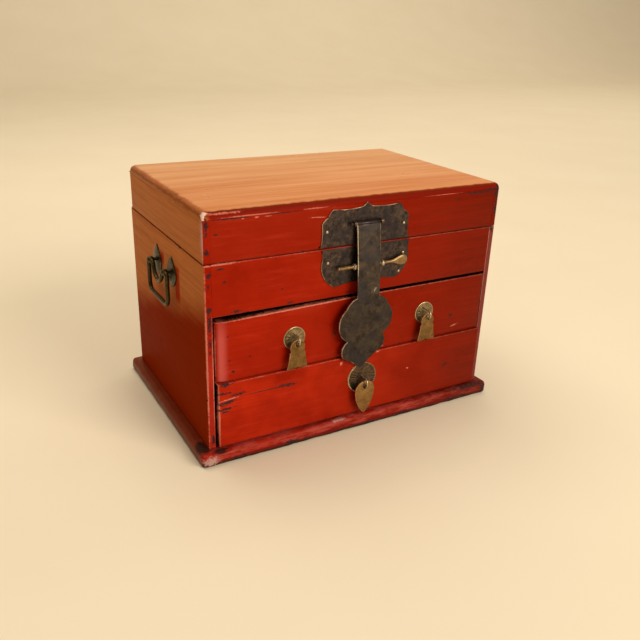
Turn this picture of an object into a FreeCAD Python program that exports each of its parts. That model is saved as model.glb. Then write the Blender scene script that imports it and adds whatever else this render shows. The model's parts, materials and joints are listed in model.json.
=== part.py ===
import FreeCAD, Part
import math
import os

# Lacquered chest: a lid over a compartment, two small drawers over one long drawer,
# a hanging hasp with a sliding lock pin, drop pulls on the drawers and a bail on each side.
# Millimetres. The origin is on the floor under the middle of the plinth.
# X runs to the right, Y to the back and Z up.

# Plinth
plinth_height = 15.5
plinth_overhang = 11.0
plinth_corner_radius = 6.0
plinth_top_radius = 5.0
plinth_bottom_radius = 3.0

# Case boards
case_width = 360.0
case_depth = 240.0
case_height = 202.0
side_thickness = 8.0
back_thickness = 8.0
rail_thickness = 9.0
rail_height = 54.5
floor_thickness = 6.0
shelf_thickness = 6.0
divider_thickness = 6.0
lower_bay_height = 72.5
corner_radius = 2.5

# Lid boards
seam_gap = 0.8
lid_height = 50.5
lid_wall_thickness = 8.0
lid_top_thickness = 8.0
lid_edge_radius = 6.5

# Drawers
upper_front_thickness = 11.5
lower_front_thickness = 14.5
front_seat = 10.0
front_side_gap = 2.0
front_meeting_gap = 1.2
front_row_gap = 0.5
front_lap = 3.0
upper_front_top_gap = 2.5
lower_front_bottom_gap = 2.2
left_front_slope = 3.0
drawer_clearance = 0.8
lower_drawer_play = 1.5
drawer_back_gap = 22.0
drawer_side_thickness = 6.0
drawer_back_thickness = 6.0
drawer_bottom_thickness = 4.0
upper_drawer_headroom = 12.2
lower_drawer_headroom = 11.7

# Drawer pulls
left_pull_offset = 82.5
right_pull_offset = 85.8
lower_pull_offset = 2.3
upper_pull_height = 34.2
upper_pull_plate_radius = 12.8
lower_pull_plate_radius = 18.8
pull_plate_thickness = 1.2
staple_radius = 4.9
staple_wire = 1.0
staple_standoff = 6.6
upper_staple_rise = 4.9
lower_staple_rise = 1.5
pendant_thickness = 1.4
pendant_hole_radius = 2.75
pendant_rim = 5.4
pendant_neck_half_width = 7.9
pendant_neck_drop = 5.0
pendant_shoulder_half_width = 9.1
pendant_shoulder_drop = 6.2
pendant_foot_half_width = 11.4
pendant_drop = 26.4
pendant_foot_notch = 1.0
pendant_foot_bow = 0.6
pendant_side_bow = 0.5
leaf_half_width = 12.4
leaf_rim = 7.3
leaf_drop = 33.4
leaf_foot_gap = 2.2

# Lock plates, with heights measured from the lid's lower edge and the case's upper edge
lock_plate_thickness = 1.2
upper_plate_foot_half_width = 56.0
upper_plate_half_width = 53.4
upper_plate_corner = 13.0
upper_plate_step = 0.7
upper_plate_foot = 1.5
upper_plate_flare = 4.0
upper_plate_shoulder = 25.5
upper_plate_head = 40.0
upper_plate_peak = 44.7
upper_plate_peak_half_width = 6.5
upper_nail_inset = 6.0
upper_nail_rise = 17.5
lower_plate_shift = 2.0
lower_plate_half_width = 54.6
lower_plate_top_gap = 0.8
lower_plate_waist = 11.0
lower_plate_shoulder = 31.8
lower_plate_foot = 42.6
lower_plate_rise = 3.0
lower_plate_waist_inset = 1.2
lower_plate_shoulder_inset = 4.0
lower_plate_step_inset = 8.0
lower_plate_foot_inset = 17.0
lower_plate_step_drop = 36.2
waist_nail_inset = 7.5
waist_nail_drop = 15.0
foot_nail_inset = 11.5
foot_nail_drop = 35.8
plate_side_bow = 0.6
plate_corner_bow = 1.0
plate_edge_bow = 1.2
plate_shoulder_bow = 2.4

# Hasp, its hinge and the lock pin
hasp_half_width = 14.4
hasp_thickness = 2.0
hasp_pivot_rise = 23.5
hasp_pin_radius = 1.3
hasp_knuckle_radius = 2.7
hasp_eye_width = 3.4
hasp_pin_overhang = 1.5
hasp_ball_radius = 2.0
hasp_clearance = 0.5
hasp_bow_rise = 2.2
tongue_pull_rise = 15.7
cloud_shoulder_half_width = 26.3
cloud_shoulder_drop = 12.0
cloud_half_width = 33.8
cloud_middle_drop = 32.0
cloud_notch_half_width = 22.0
cloud_notch_drop = 49.5
cloud_foot_half_width = 28.0
cloud_foot_drop = 60.5
cloud_heel_half_width = 21.2
cloud_heel_drop = 70.0
cloud_length = 85.5
cloud_lobe_bow = 2.8
cloud_foot_bow = 2.0
cloud_tip_bow = 0.8
lock_pin_drop = 21.8
lock_pin_radius = 2.0
lock_pin_left_reach = 35.5
lock_pin_neck_reach = 31.0
lock_pin_right_reach = 53.0
lock_pin_paddle_height = 12.0
lock_pin_paddle_thickness = 3.4
lock_pin_throat = 1.6
lock_pin_flare_bow = 0.8
eyelet_outer_radius = 3.7
eyelet_width = 3.4
eyelet_left = 14.5
eyelet_right = 20.0

# Lid hinges on the back
hinge_offset = 100.0
hinge_leaf_width = 36.0
hinge_leaf_height = 24.0
hinge_leaf_thickness = 1.2
hinge_knuckle_radius = 2.8
hinge_knuckle_gap = 0.4
hinge_axis_offset = 3.3
hinge_pin_radius = 1.4
hinge_corner_radius = 4.0
hinge_nail_spread = 12.0
hinge_nail_height = 14.0

# Side handles
handle_center = -3.0
handle_rise = 13.8
handle_post_offset = 24.0
handle_plate_thickness = 1.2
spear_half_width = 15.0
spear_rise = 17.4
spear_shoulder_rise = 0.5
spear_waist_half_width = 10.5
spear_waist_drop = 10.0
spear_drop = 17.5
spear_side_bow = 1.0
post_standoff = 8.5
post_ball_radius = 3.9
post_shank_radius = 1.9
bail_rod_radius = 2.4
bail_drop = 36.0
bail_bottom_radius = 9.0
bail_corner_radius = 3.0
bail_swag_drop = 16.0
bail_swag_corner = 5.0
bail_side_gap = 0.4

# Fasteners and fits
nail_head_radius = 1.6
nail_head_height = 1.0
nail_shank_radius = 0.7
nail_shank_length = 6.0
shank_radius = 1.5
clinch_length = 1.5
fit_clearance = 0.05
edge_tolerance = 0.01

# Levels and faces that follow from the sizes above
half_width = case_width / 2
inner_half = half_width - side_thickness
front_face = -case_depth / 2
back_face = case_depth / 2
rail_back = front_face + rail_thickness
back_inner = back_face - back_thickness
case_top = plinth_height + case_height
rail_bottom = case_top - rail_height
floor_top = rail_bottom + floor_thickness
handle_height = floor_top + handle_rise
shelf_bottom = plinth_height + lower_bay_height
shelf_top = shelf_bottom + shelf_thickness
lid_bottom = case_top + seam_gap
lid_top = lid_bottom + lid_height
lid_wall_top = lid_top - lid_top_thickness
lid_inner_half = half_width - lid_wall_thickness
seat_face = front_face + front_seat
shelf_front = seat_face + drawer_clearance
drawer_end = back_inner - drawer_back_gap
upper_front_face = seat_face - upper_front_thickness
lower_front_face = seat_face - lower_front_thickness
lower_front_bottom = plinth_height + lower_front_bottom_gap
lower_front_top = shelf_bottom + front_lap
upper_front_bottom = lower_front_top + front_row_gap
upper_front_top = rail_bottom - upper_front_top_gap
lower_drawer_shift = lower_drawer_play - drawer_clearance
lock_plate_face = front_face - lock_plate_thickness
lock_pin_level = case_top - lock_pin_drop
lock_pin_axis = lock_plate_face - eyelet_outer_radius
hasp_pivot_level = lid_bottom + hasp_pivot_rise
lower_pull_ring = lower_front_bottom + leaf_foot_gap + leaf_drop
lower_pull_level = lower_pull_ring + 2 * staple_radius - lower_staple_rise
hasp_strap_end = lower_pull_level + tongue_pull_rise + cloud_length
hasp_strap_length = hasp_pivot_level - hasp_strap_end
hasp_pivot_axis = lock_plate_face - hasp_knuckle_radius - hasp_clearance
hinge_axis_face = back_face + hinge_axis_offset
hinge_axis_level = case_top + seam_gap / 2

Vector = FreeCAD.Vector
to_front = Vector(0, -1, 0)
to_back = Vector(0, 1, 0)
to_right = Vector(1, 0, 0)


def save(node, *solids):
    """Write one named sub-part; several solids make a group."""
    shape = solids[0] if len(solids) == 1 else Part.makeCompound(solids)
    shape.exportStep("parts/" + node + ".step")


def block(x0, x1, y0, y1, z0, z1):
    """A box between two corners."""
    return Part.makeBox(x1 - x0, y1 - y0, z1 - z0, Vector(x0, y0, z0))


def rod(radius, start, end):
    """A round bar from one point to another."""
    return Part.makeCylinder(radius, (end - start).Length, start, end - start)


def cut(shape, *tools):
    """A shape with each of the tools taken out of it."""
    for tool in tools:
        shape = shape.cut(tool)
    return shape


def joined(*shapes):
    """One solid from shapes that overlap."""
    shape = shapes[0]
    for other in shapes[1:]:
        shape = shape.fuse(other)
    return shape.removeSplitter()


def rounded(shape, radius, chosen):
    """A shape with the edges that pass a test filleted."""
    return shape.makeFillet(radius, [edge for edge in shape.Edges if chosen(edge)])


def upright(edge):
    """True for a vertical edge."""
    ends = [vertex.Point for vertex in edge.Vertexes]
    return abs(ends[0].x - ends[1].x) < edge_tolerance and abs(ends[0].y - ends[1].y) < edge_tolerance


def along_depth(edge):
    """True for an edge that runs from front to back."""
    ends = [vertex.Point for vertex in edge.Vertexes]
    return abs(ends[0].x - ends[1].x) < edge_tolerance and abs(ends[0].z - ends[1].z) < edge_tolerance


def at_level(level):
    """A test for the edges that lie at one height."""
    return lambda edge: all(abs(vertex.Z - level) < edge_tolerance for vertex in edge.Vertexes)


def curve(start, end, bulge):
    """A line, or an arc whose middle stands off the line by the bulge, to its right."""
    if bulge == 0:
        return Part.makeLine(start, end)
    run = end - start
    middle = (start + end) / 2 + Vector(run.z, 0, -run.x).normalize() * bulge
    return Part.Arc(start, middle, end).toShape()


def symmetric_plate(half_outline, x, back, thickness, level):
    """A plate with mirrored sides, standing off its back plane towards the front.

    The half outline runs up the right side as (half width, height, bulge to the next point).
    """
    points = [Vector(width, 0, height) for width, height, bulge in half_outline]
    bulges = [bulge for width, height, bulge in half_outline[:-1]]
    mirrored = [Vector(-point.x, 0, point.z) for point in reversed(points)]
    edges = [curve(points[i], points[i + 1], bulges[i]) for i in range(len(bulges))]
    for i, bulge in enumerate(reversed(bulges)):
        edges.append(curve(mirrored[i], mirrored[i + 1], bulge))
    for first, last in ((points[-1], mirrored[0]), (mirrored[-1], points[0])):
        if (first - last).Length > edge_tolerance:
            edges.append(Part.makeLine(first, last))
    face = Part.Face(Part.Wire(Part.__sortEdges__(edges)))
    face.translate(Vector(x, back, level))
    return face.extrude(to_front * thickness)


def nail(seat, outward):
    """A dome-headed nail with the underside of its head at the seat."""
    dome = (nail_head_radius ** 2 + nail_head_height ** 2) / (2 * nail_head_height)
    center = seat + outward * (nail_head_height - dome)
    rim = math.degrees(math.asin((dome - nail_head_height) / dome))
    head = Part.makeSphere(dome, center, outward, rim, 90, 360)
    return joined(head, rod(nail_shank_radius, seat, seat - outward * nail_shank_length))


def nail_holes(seats, outward):
    """Holes that take the nails' shanks."""
    radius = nail_shank_radius + fit_clearance
    return [rod(radius, seat + outward, seat - outward * nail_shank_length) for seat in seats]


def eye(radius, bore, width, center, tail):
    """A ring on a shank that runs back to its clinched tail."""
    shank = rod(shank_radius, center, Vector(center.x, tail, center.z))
    hole = rod(bore, center - to_right * width, center + to_right * width)
    return joined(rod(radius, center - to_right * width / 2, center + to_right * width / 2), shank).cut(hole)


def plinth():
    """The slab under the case, with rounded edges."""
    x = half_width + plinth_overhang
    y = case_depth / 2 + plinth_overhang
    slab = rounded(block(-x, x, -y, y, 0, plinth_height), plinth_corner_radius, upright)
    slab = rounded(slab, plinth_top_radius, at_level(plinth_height))
    return rounded(slab, plinth_bottom_radius, at_level(0))


def outer_corner(sign):
    """A test for the vertical edges on one outer side of the case."""
    return lambda edge: upright(edge) and abs(edge.Vertexes[0].X - sign * half_width) < edge_tolerance


def side_board(sign, thickness, bottom, top):
    """A side board over the full depth, with its outer corners eased."""
    x0, x1 = sorted((sign * half_width, sign * (half_width - thickness)))
    return rounded(block(x0, x1, front_face, back_face, bottom, top), corner_radius, outer_corner(sign))


def handle_posts(sign):
    """Where the two posts of a side handle meet the side board."""
    return [Vector(sign * half_width, handle_center + side * handle_post_offset, handle_height)
            for side in (-1, 1)]


def case_side(sign):
    """A side of the case, bored for its handle's posts."""
    inward = Vector(-sign * side_thickness, 0, 0)
    holes = [rod(post_shank_radius + fit_clearance, post - inward, post + inward * 2)
             for post in handle_posts(sign)]
    return cut(side_board(sign, side_thickness, plinth_height, case_top), *holes)


def eyelet_centers():
    """The two eyelets that carry the lock pin."""
    return [Vector(x, lock_pin_axis, lock_pin_level) for x in (-eyelet_left, eyelet_right)]


def shank_holes(centers):
    """Holes through a board and its plate for the shanks of eyes."""
    radius = shank_radius + fit_clearance
    reach = to_back * (lock_plate_thickness + rail_thickness + 2 * clinch_length)
    starts = [Vector(center.x, lock_plate_face - clinch_length, center.z) for center in centers]
    return [rod(radius, start, start + reach) for start in starts]


def lower_plate_nails():
    """Nail seats on the lower lock plate."""
    spots = [(waist_nail_inset, waist_nail_drop), (foot_nail_inset, foot_nail_drop)]
    half = lower_plate_half_width
    return [Vector(lower_plate_shift + side * (half - inset), lock_plate_face, case_top - drop)
            for inset, drop in spots for side in (-1, 1)]


def upper_plate_nails():
    """Nail seats on the upper lock plate."""
    return [Vector(side * (upper_plate_half_width - upper_nail_inset), lock_plate_face,
                   lid_bottom + upper_nail_rise) for side in (-1, 1)]


def front_rail():
    """The fixed board above the drawers, bored for the lock's eyelets and nails."""
    board = block(-inner_half, inner_half, front_face, rail_back, rail_bottom, case_top)
    return cut(board, *shank_holes(eyelet_centers()), *nail_holes(lower_plate_nails(), to_front))


def hinge_spots(rise):
    """Nail seats on the two hinge leaves on one side of the hinge axis."""
    return [Vector(side * hinge_offset + shift, back_face + hinge_leaf_thickness, hinge_axis_level + rise)
            for side in (-1, 1) for shift in (-hinge_nail_spread, hinge_nail_spread)]


def back_panel():
    """The back of the case, drilled for the hinge nails."""
    board = block(-inner_half, inner_half, back_inner, back_face, plinth_height, case_top)
    return cut(board, *nail_holes(hinge_spots(-hinge_nail_height), to_back))


def lid_top_board():
    """The top board of the lid, with its upper edges rounded over."""
    board = block(-half_width, half_width, front_face, back_face, lid_wall_top, lid_top)
    board = rounded(board, lid_edge_radius, at_level(lid_top))
    return rounded(board, corner_radius, upright)


def lid_front_board():
    """The front of the lid, bored for the hasp's eyes and the plate's nails."""
    board = block(-lid_inner_half, lid_inner_half, front_face, front_face + lid_wall_thickness,
                  lid_bottom, lid_wall_top)
    return cut(board, *shank_holes(hasp_eye_centers()), *nail_holes(upper_plate_nails(), to_front))


def lid_back_board():
    """The back of the lid, drilled for the hinge nails."""
    board = block(-lid_inner_half, lid_inner_half, back_face - lid_wall_thickness, back_face,
                  lid_bottom, lid_wall_top)
    return cut(board, *nail_holes(hinge_spots(hinge_nail_height), to_back))


def upper_lock_plate():
    """The half of the lock plate on the lid, with cloud corners and a peak."""
    half = upper_plate_half_width
    step = half - upper_plate_corner / 2 - upper_plate_step
    step_height = (upper_plate_shoulder + upper_plate_head) / 2 - upper_plate_step
    outline = [
        (upper_plate_foot_half_width, upper_plate_foot, -plate_side_bow),
        (half, upper_plate_foot + upper_plate_flare, -plate_side_bow),
        (half, upper_plate_shoulder, plate_corner_bow),
        (step, step_height, plate_corner_bow),
        (half - upper_plate_corner, upper_plate_head, -plate_edge_bow),
        (upper_plate_peak_half_width, upper_plate_head, -plate_side_bow),
        (0, upper_plate_peak, 0),
    ]
    plate = symmetric_plate(outline, 0, front_face, lock_plate_thickness, lid_bottom)
    return cut(plate, *shank_holes(hasp_eye_centers()), *nail_holes(upper_plate_nails(), to_front))


def lower_lock_plate():
    """The half of the lock plate on the case, with cloud corners below."""
    half = lower_plate_half_width
    outline = [
        (0, lower_plate_rise - lower_plate_foot, -plate_edge_bow),
        (half - lower_plate_foot_inset, -lower_plate_foot, plate_corner_bow),
        (half - lower_plate_step_inset, -lower_plate_step_drop, plate_side_bow),
        (half - lower_plate_shoulder_inset, -lower_plate_shoulder, plate_shoulder_bow),
        (half - lower_plate_waist_inset, -lower_plate_waist, -plate_side_bow),
        (half, -lower_plate_top_gap, 0),
    ]
    plate = symmetric_plate(outline, lower_plate_shift, front_face, lock_plate_thickness, case_top)
    return cut(plate, *shank_holes(eyelet_centers()), *nail_holes(lower_plate_nails(), to_front))


def lock_eyelets():
    """Two eyelets that stand on the lower plate and are clinched behind the rail."""
    bore = lock_pin_radius + fit_clearance
    return [eye(eyelet_outer_radius, bore, eyelet_width, center, rail_back + clinch_length)
            for center in eyelet_centers()]


def lock_pin():
    """A round pin with a flat paddle at its right end."""
    start = Vector(-lock_pin_left_reach, lock_pin_axis, lock_pin_level)
    neck = Vector(lock_pin_neck_reach, lock_pin_axis, lock_pin_level)
    run = lock_pin_right_reach - lock_pin_neck_reach
    half = lock_pin_paddle_height / 2
    throat = lock_pin_throat
    outline = [
        Vector(-lock_pin_radius, 0, -throat),
        Vector(0, 0, -throat),
        Vector(run - half, 0, -half),
        Vector(run, 0, 0),
        Vector(run - half, 0, half),
        Vector(0, 0, throat),
        Vector(-lock_pin_radius, 0, throat),
    ]
    tip = half * math.sqrt(0.5)
    edges = [
        curve(outline[0], outline[1], 0),
        curve(outline[1], outline[2], -lock_pin_flare_bow),
        Part.Arc(outline[2], Vector(run - half + tip, 0, -tip), outline[3]).toShape(),
        Part.Arc(outline[3], Vector(run - half + tip, 0, tip), outline[4]).toShape(),
        curve(outline[4], outline[5], -lock_pin_flare_bow),
        curve(outline[5], outline[6], 0),
        curve(outline[6], outline[0], 0),
    ]
    face = Part.Face(Part.Wire(edges))
    face.translate(neck + to_back * lock_pin_paddle_thickness / 2)
    return joined(rod(lock_pin_radius, start, neck), face.extrude(to_front * lock_pin_paddle_thickness))


def hasp_eye_centers():
    """The two eyes that carry the hasp's hinge pin."""
    reach = hasp_half_width + hasp_eye_width / 2 + hasp_clearance / 2
    return [Vector(side * reach, hasp_pivot_axis, hasp_pivot_level) for side in (-1, 1)]


def hasp_eyes():
    """Two eyes that stand on the upper plate and are clinched behind the lid's front."""
    tail = front_face + lid_wall_thickness + clinch_length
    bore = hasp_pin_radius + fit_clearance
    return [eye(hasp_knuckle_radius, bore, hasp_eye_width, center, tail) for center in hasp_eye_centers()]


def hasp_pin():
    """The hasp's hinge pin, with a ball at its left end."""
    left_eye, right_eye = hasp_eye_centers()
    out = to_right * (hasp_eye_width / 2 + hasp_pin_overhang)
    ball = left_eye - to_right * (hasp_eye_width / 2 + fit_clearance + hasp_ball_radius)
    return joined(rod(hasp_pin_radius, ball, right_eye + out), Part.makeSphere(hasp_ball_radius, ball))


def hasp():
    """The bowed strap and its cloud-shaped tongue, with a rolled knuckle at the top."""
    half = hasp_half_width
    outline = [
        (0, -cloud_length, -cloud_tip_bow),
        (cloud_heel_half_width, -cloud_heel_drop, cloud_foot_bow),
        (cloud_foot_half_width, -cloud_foot_drop, cloud_foot_bow),
        (cloud_notch_half_width, -cloud_notch_drop, cloud_lobe_bow),
        (cloud_half_width, -cloud_middle_drop, cloud_lobe_bow),
        (cloud_shoulder_half_width, -cloud_shoulder_drop, cloud_foot_bow),
        (half, 0, 0),
        (half, hasp_strap_length, 0),
    ]
    pin_depth = lock_plate_thickness + 2 * eyelet_outer_radius + hasp_clearance
    bow_depth = pin_depth + hasp_bow_rise
    tip_depth = front_face - lower_front_face + pull_plate_thickness + hasp_clearance
    pivot_depth = front_face - hasp_pivot_axis - hasp_thickness / 2
    plan = symmetric_plate(outline, 0, front_face, 2 * bow_depth, hasp_strap_end)
    spots = [
        (pivot_depth, hasp_pivot_level),
        (pin_depth, lock_pin_level),
        (bow_depth, hasp_strap_end),
        (tip_depth, hasp_strap_end - cloud_length - hasp_thickness),
    ]
    back = [Vector(-case_width, front_face - depth, level) for depth, level in spots]
    front = [point + to_front * hasp_thickness for point in back]
    edges = [
        Part.Arc(back[0], back[1], back[2]).toShape(),
        Part.makeLine(back[2], back[3]),
        Part.makeLine(back[3], front[3]),
        Part.makeLine(front[3], front[2]),
        Part.Arc(front[2], front[1], front[0]).toShape(),
        Part.makeLine(front[0], back[0]),
    ]
    sheet = Part.Face(Part.Wire(edges)).extrude(to_right * 2 * case_width)
    pivot = Vector(0, hasp_pivot_axis, hasp_pivot_level)
    bore = rod(hasp_pin_radius + fit_clearance, pivot - to_right * half * 2, pivot + to_right * half * 2)
    knuckle = rod(hasp_knuckle_radius, pivot - to_right * half, pivot + to_right * half)
    return joined(plan.common(sheet), knuckle).cut(bore)


def hinge_knuckle(x0, x1, radius):
    """A barrel on the lid's hinge axis."""
    start = Vector(x0, hinge_axis_face, hinge_axis_level)
    return rod(radius, start, start + to_right * (x1 - x0))


def hinge_leaf(x, up):
    """A hinge leaf: up is 1 on the lid, with the middle barrel, and -1 on the case, with the outer two."""
    half = hinge_leaf_width / 2
    third = hinge_leaf_width / 6
    gap = hinge_knuckle_gap
    near = hinge_axis_level + up * seam_gap / 2
    far = hinge_axis_level + up * hinge_leaf_height
    outside = back_face + hinge_leaf_thickness
    middle = [(x - third + gap / 2, x + third - gap / 2)]
    outer = [(x - half, x - third - gap / 2), (x + third + gap / 2, x + half)]
    own, other = (middle, outer) if up > 0 else (outer, middle)
    plate = block(x - half, x + half, back_face, outside, *sorted((near, far)))
    plate = rounded(plate, hinge_corner_radius, lambda edge: along_depth(edge) and at_level(far)(edge))
    clear = hinge_knuckle_radius + gap
    low, high = hinge_axis_level - clear, hinge_axis_level + clear
    notches = [block(x0 - gap, x1 + gap, back_face, outside, low, high) for x0, x1 in other]
    barrels = [hinge_knuckle(x0, x1, hinge_knuckle_radius) for x0, x1 in own]
    bore = hinge_knuckle(x - half, x + half, hinge_pin_radius + fit_clearance)
    leaf = joined(cut(plate, *notches), *barrels).cut(bore)
    return cut(leaf, *nail_holes(hinge_spots(up * hinge_nail_height), to_back))


def hinge_pin(x):
    """The pin of one lid hinge."""
    return hinge_knuckle(x - hinge_leaf_width / 2, x + hinge_leaf_width / 2, hinge_pin_radius)


def spear_plate(sign, post):
    """A spear-shaped plate behind one handle post."""
    outline = [
        (0, -spear_drop, spear_side_bow),
        (spear_waist_half_width, -spear_waist_drop, spear_side_bow),
        (spear_half_width, spear_shoulder_rise, spear_side_bow),
        (0, spear_rise, 0),
    ]
    plate = symmetric_plate(outline, 0, 0, handle_plate_thickness, 0)
    turn = FreeCAD.Rotation(to_front, Vector(sign, 0, 0))
    plate.Placement = FreeCAD.Placement(post, turn)
    outward = Vector(sign * handle_plate_thickness * 2, 0, 0)
    return plate.cut(rod(post_shank_radius + fit_clearance, post - outward, post + outward))


def handle_post(sign, post):
    """A ball-headed post, bored for the bail and clinched inside the case."""
    outward = Vector(sign, 0, 0)
    ball = post + outward * post_standoff
    tail = post - outward * (side_thickness + clinch_length)
    reach = to_back * post_ball_radius * 2
    bore = rod(bail_rod_radius + fit_clearance, ball - reach, ball + reach)
    return joined(rod(post_shank_radius, tail, ball), Part.makeSphere(post_ball_radius, ball)).cut(bore)


def bail(sign):
    """A closed loop handle: an outer bow, journals in the posts and a swag between them."""
    corner = bail_corner_radius
    leg = handle_post_offset + post_ball_radius + corner + bail_side_gap
    inner = handle_post_offset - post_ball_radius - bail_side_gap
    small = bail_swag_corner
    swag = (inner ** 2 + (bail_swag_drop - small) ** 2 - small ** 2) / (2 * bail_swag_drop)
    swag_center = swag - bail_swag_drop
    reach = math.hypot(inner, swag_center + small)
    touch = (inner - small * inner / reach, -small + small * (swag_center + small) / reach)
    lean = math.atan2(touch[1] + small, touch[0] - inner)
    half_turn = (math.pi / 2 + lean) / 2
    bend = (inner + small * math.cos(half_turn), -small + small * math.sin(half_turn))
    low = math.atan2(touch[1] - swag_center, touch[0])
    dip = (low - math.pi / 2) / 2
    belly = (swag * math.cos(dip), swag_center + swag * math.sin(dip))
    quarter = math.sqrt(0.5)
    bottom = bail_bottom_radius

    def at(y, z):
        return Vector(sign * (half_width + post_standoff), handle_center + y, handle_height + z)

    path = Part.Wire([
        Part.makeLine(at(0, -bail_drop), at(leg - bottom, -bail_drop)),
        Part.Arc(at(leg - bottom, -bail_drop),
                 at(leg - bottom + bottom * quarter, -bail_drop + bottom - bottom * quarter),
                 at(leg, -bail_drop + bottom)).toShape(),
        Part.makeLine(at(leg, -bail_drop + bottom), at(leg, -corner)),
        Part.Arc(at(leg, -corner), at(leg - corner + corner * quarter, -corner + corner * quarter),
                 at(leg - corner, 0)).toShape(),
        Part.makeLine(at(leg - corner, 0), at(inner, 0)),
        Part.Arc(at(inner, 0), at(*bend), at(*touch)).toShape(),
        Part.Arc(at(*touch), at(*belly), at(0, -bail_swag_drop)).toShape(),
    ])
    section = Part.Wire([Part.makeCircle(bail_rod_radius, at(0, -bail_drop), to_back)])
    half = path.makePipeShell([section], True, False)
    return joined(half, half.mirror(at(0, 0), to_back))


def drawer_front(left, right, face, bottom, left_top, right_top, holes):
    """A drawer front, with its top edge level or sloping, bored for its pull."""
    corners = [
        Vector(left, face, bottom),
        Vector(right, face, bottom),
        Vector(right, face, right_top),
        Vector(left, face, left_top),
    ]
    board = Part.Face(Part.makePolygon(corners + corners[:1])).extrude(to_back * (seat_face - face))
    return cut(board, *holes)


def drawer_tray(name, left, right, bottom, top):
    """The sides, back and bottom of a drawer behind its front."""
    back_start = drawer_end - drawer_back_thickness
    inner_left = left + drawer_side_thickness
    inner_right = right - drawer_side_thickness
    save(name + "_drawer_sides",
         block(left, inner_left, seat_face, drawer_end, bottom, top),
         block(inner_right, right, seat_face, drawer_end, bottom, top))
    save(name + "_drawer_back", block(inner_left, inner_right, back_start, drawer_end, bottom, top))
    save(name + "_drawer_bottom",
         block(inner_left, inner_right, seat_face, back_start, bottom, bottom + drawer_bottom_thickness))


def staple_legs(x, level):
    """The heights of a pull staple's two legs, as points on the chest's front plane."""
    return [Vector(x, front_face, level), Vector(x, front_face, level - 2 * staple_radius)]


def staple_holes(x, level):
    """Holes for a staple through the plate and the drawer front."""
    radius = staple_wire + fit_clearance
    reach = to_back * 2 * front_seat
    return [rod(radius, leg - reach, leg + reach) for leg in staple_legs(x, level)]


def pull_staple(x, face, level):
    """A wire staple: a round bow in front of the plate and two legs clinched inside."""
    bow = face - pull_plate_thickness - staple_standoff
    tail = seat_face + clinch_length
    top, foot = staple_legs(x, level)
    path = Part.Wire([
        Part.makeLine(Vector(x, tail, top.z), Vector(x, bow, top.z)),
        Part.Arc(Vector(x, bow, top.z), Vector(x, bow - staple_radius, level - staple_radius),
                 Vector(x, bow, foot.z)).toShape(),
        Part.makeLine(Vector(x, bow, foot.z), Vector(x, tail, foot.z)),
    ])
    section = Part.Wire([Part.makeCircle(staple_wire, Vector(x, tail, top.z), to_front)])
    return path.makePipeShell([section], True, False)


def pull_plate(x, face, level, rise, radius):
    """A round plate behind a pull."""
    start = Vector(x, face, level)
    disc = rod(radius, start, start + to_front * pull_plate_thickness)
    return cut(disc, *staple_holes(x, level + rise))


def hung(plate, x, face, level):
    """A pendant, drawn about its hole, hung on its staple."""
    depth = face - pull_plate_thickness - staple_standoff + pendant_thickness / 2
    hole = rod(pendant_hole_radius, to_back * pendant_thickness, to_front * 2 * pendant_thickness)
    pendant = plate.cut(hole)
    pendant.translate(Vector(x, depth, level - 2 * staple_radius))
    return pendant


def bell_pendant(x, face, level):
    """A round head with a hole, a small neck and a flared, lobed foot."""
    neck = Vector(pendant_neck_half_width, 0, -pendant_neck_drop)
    shoulder = Vector(pendant_shoulder_half_width, 0, -pendant_shoulder_drop)
    foot = Vector(pendant_foot_half_width, 0, -pendant_drop)
    notch = Vector(0, 0, -pendant_drop + pendant_foot_notch)

    def left(point):
        return Vector(-point.x, 0, point.z)

    edges = [
        curve(notch, foot, pendant_foot_bow),
        curve(foot, shoulder, -pendant_side_bow),
        curve(shoulder, neck, 0),
        Part.Arc(neck, Vector(0, 0, pendant_rim), left(neck)).toShape(),
        curve(left(neck), left(shoulder), 0),
        curve(left(shoulder), left(foot), -pendant_side_bow),
        curve(left(foot), notch, pendant_foot_bow),
    ]
    plate = Part.Face(Part.Wire(edges)).extrude(to_front * pendant_thickness)
    return hung(plate, x, face, level)


def leaf_pendant(x, face, level):
    """A leaf with a round head and a pointed foot."""
    middle = leaf_rim - leaf_half_width
    run = leaf_drop + middle
    offset = (run ** 2 - leaf_half_width ** 2) / (2 * leaf_half_width)
    sweep = math.atan2(run, offset) / 2
    radius = leaf_half_width + offset
    flank = Vector(radius * math.cos(sweep) - offset, 0, middle - radius * math.sin(sweep))
    right = Vector(leaf_half_width, 0, middle)
    left = Vector(-leaf_half_width, 0, middle)
    tip = Vector(0, 0, -leaf_drop)
    edges = [
        Part.Arc(tip, flank, right).toShape(),
        Part.Arc(right, Vector(0, 0, leaf_rim), left).toShape(),
        Part.Arc(left, Vector(-flank.x, 0, flank.z), tip).toShape(),
    ]
    plate = Part.Face(Part.Wire(edges)).extrude(to_front * pendant_thickness)
    return hung(plate, x, face, level)


def save_pull(name, x, face, level, rise, radius, pendant):
    """One drawer pull: a plate, a staple with its upper leg above the plate's middle, and a pendant."""
    save(name + "_pull_plate", pull_plate(x, face, level, rise, radius))
    save(name + "_pull_staple", pull_staple(x, face, level + rise))
    save(name + "_pull_pendant", pendant(x, face, level + rise))


def save_case():
    """The fixed boards of the case."""
    save("base_plinth", plinth())
    save("left_side_panel", case_side(-1))
    save("right_side_panel", case_side(1))
    save("back_panel", back_panel())
    save("front_rail", front_rail())
    save("compartment_floor",
         block(-inner_half, inner_half, rail_back, back_inner, rail_bottom, floor_top))
    save("drawer_shelf", block(-inner_half, inner_half, shelf_front, back_inner, shelf_bottom, shelf_top))
    half = divider_thickness / 2
    save("drawer_divider", block(-half, half, shelf_front, back_inner, shelf_top, rail_bottom))


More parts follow.
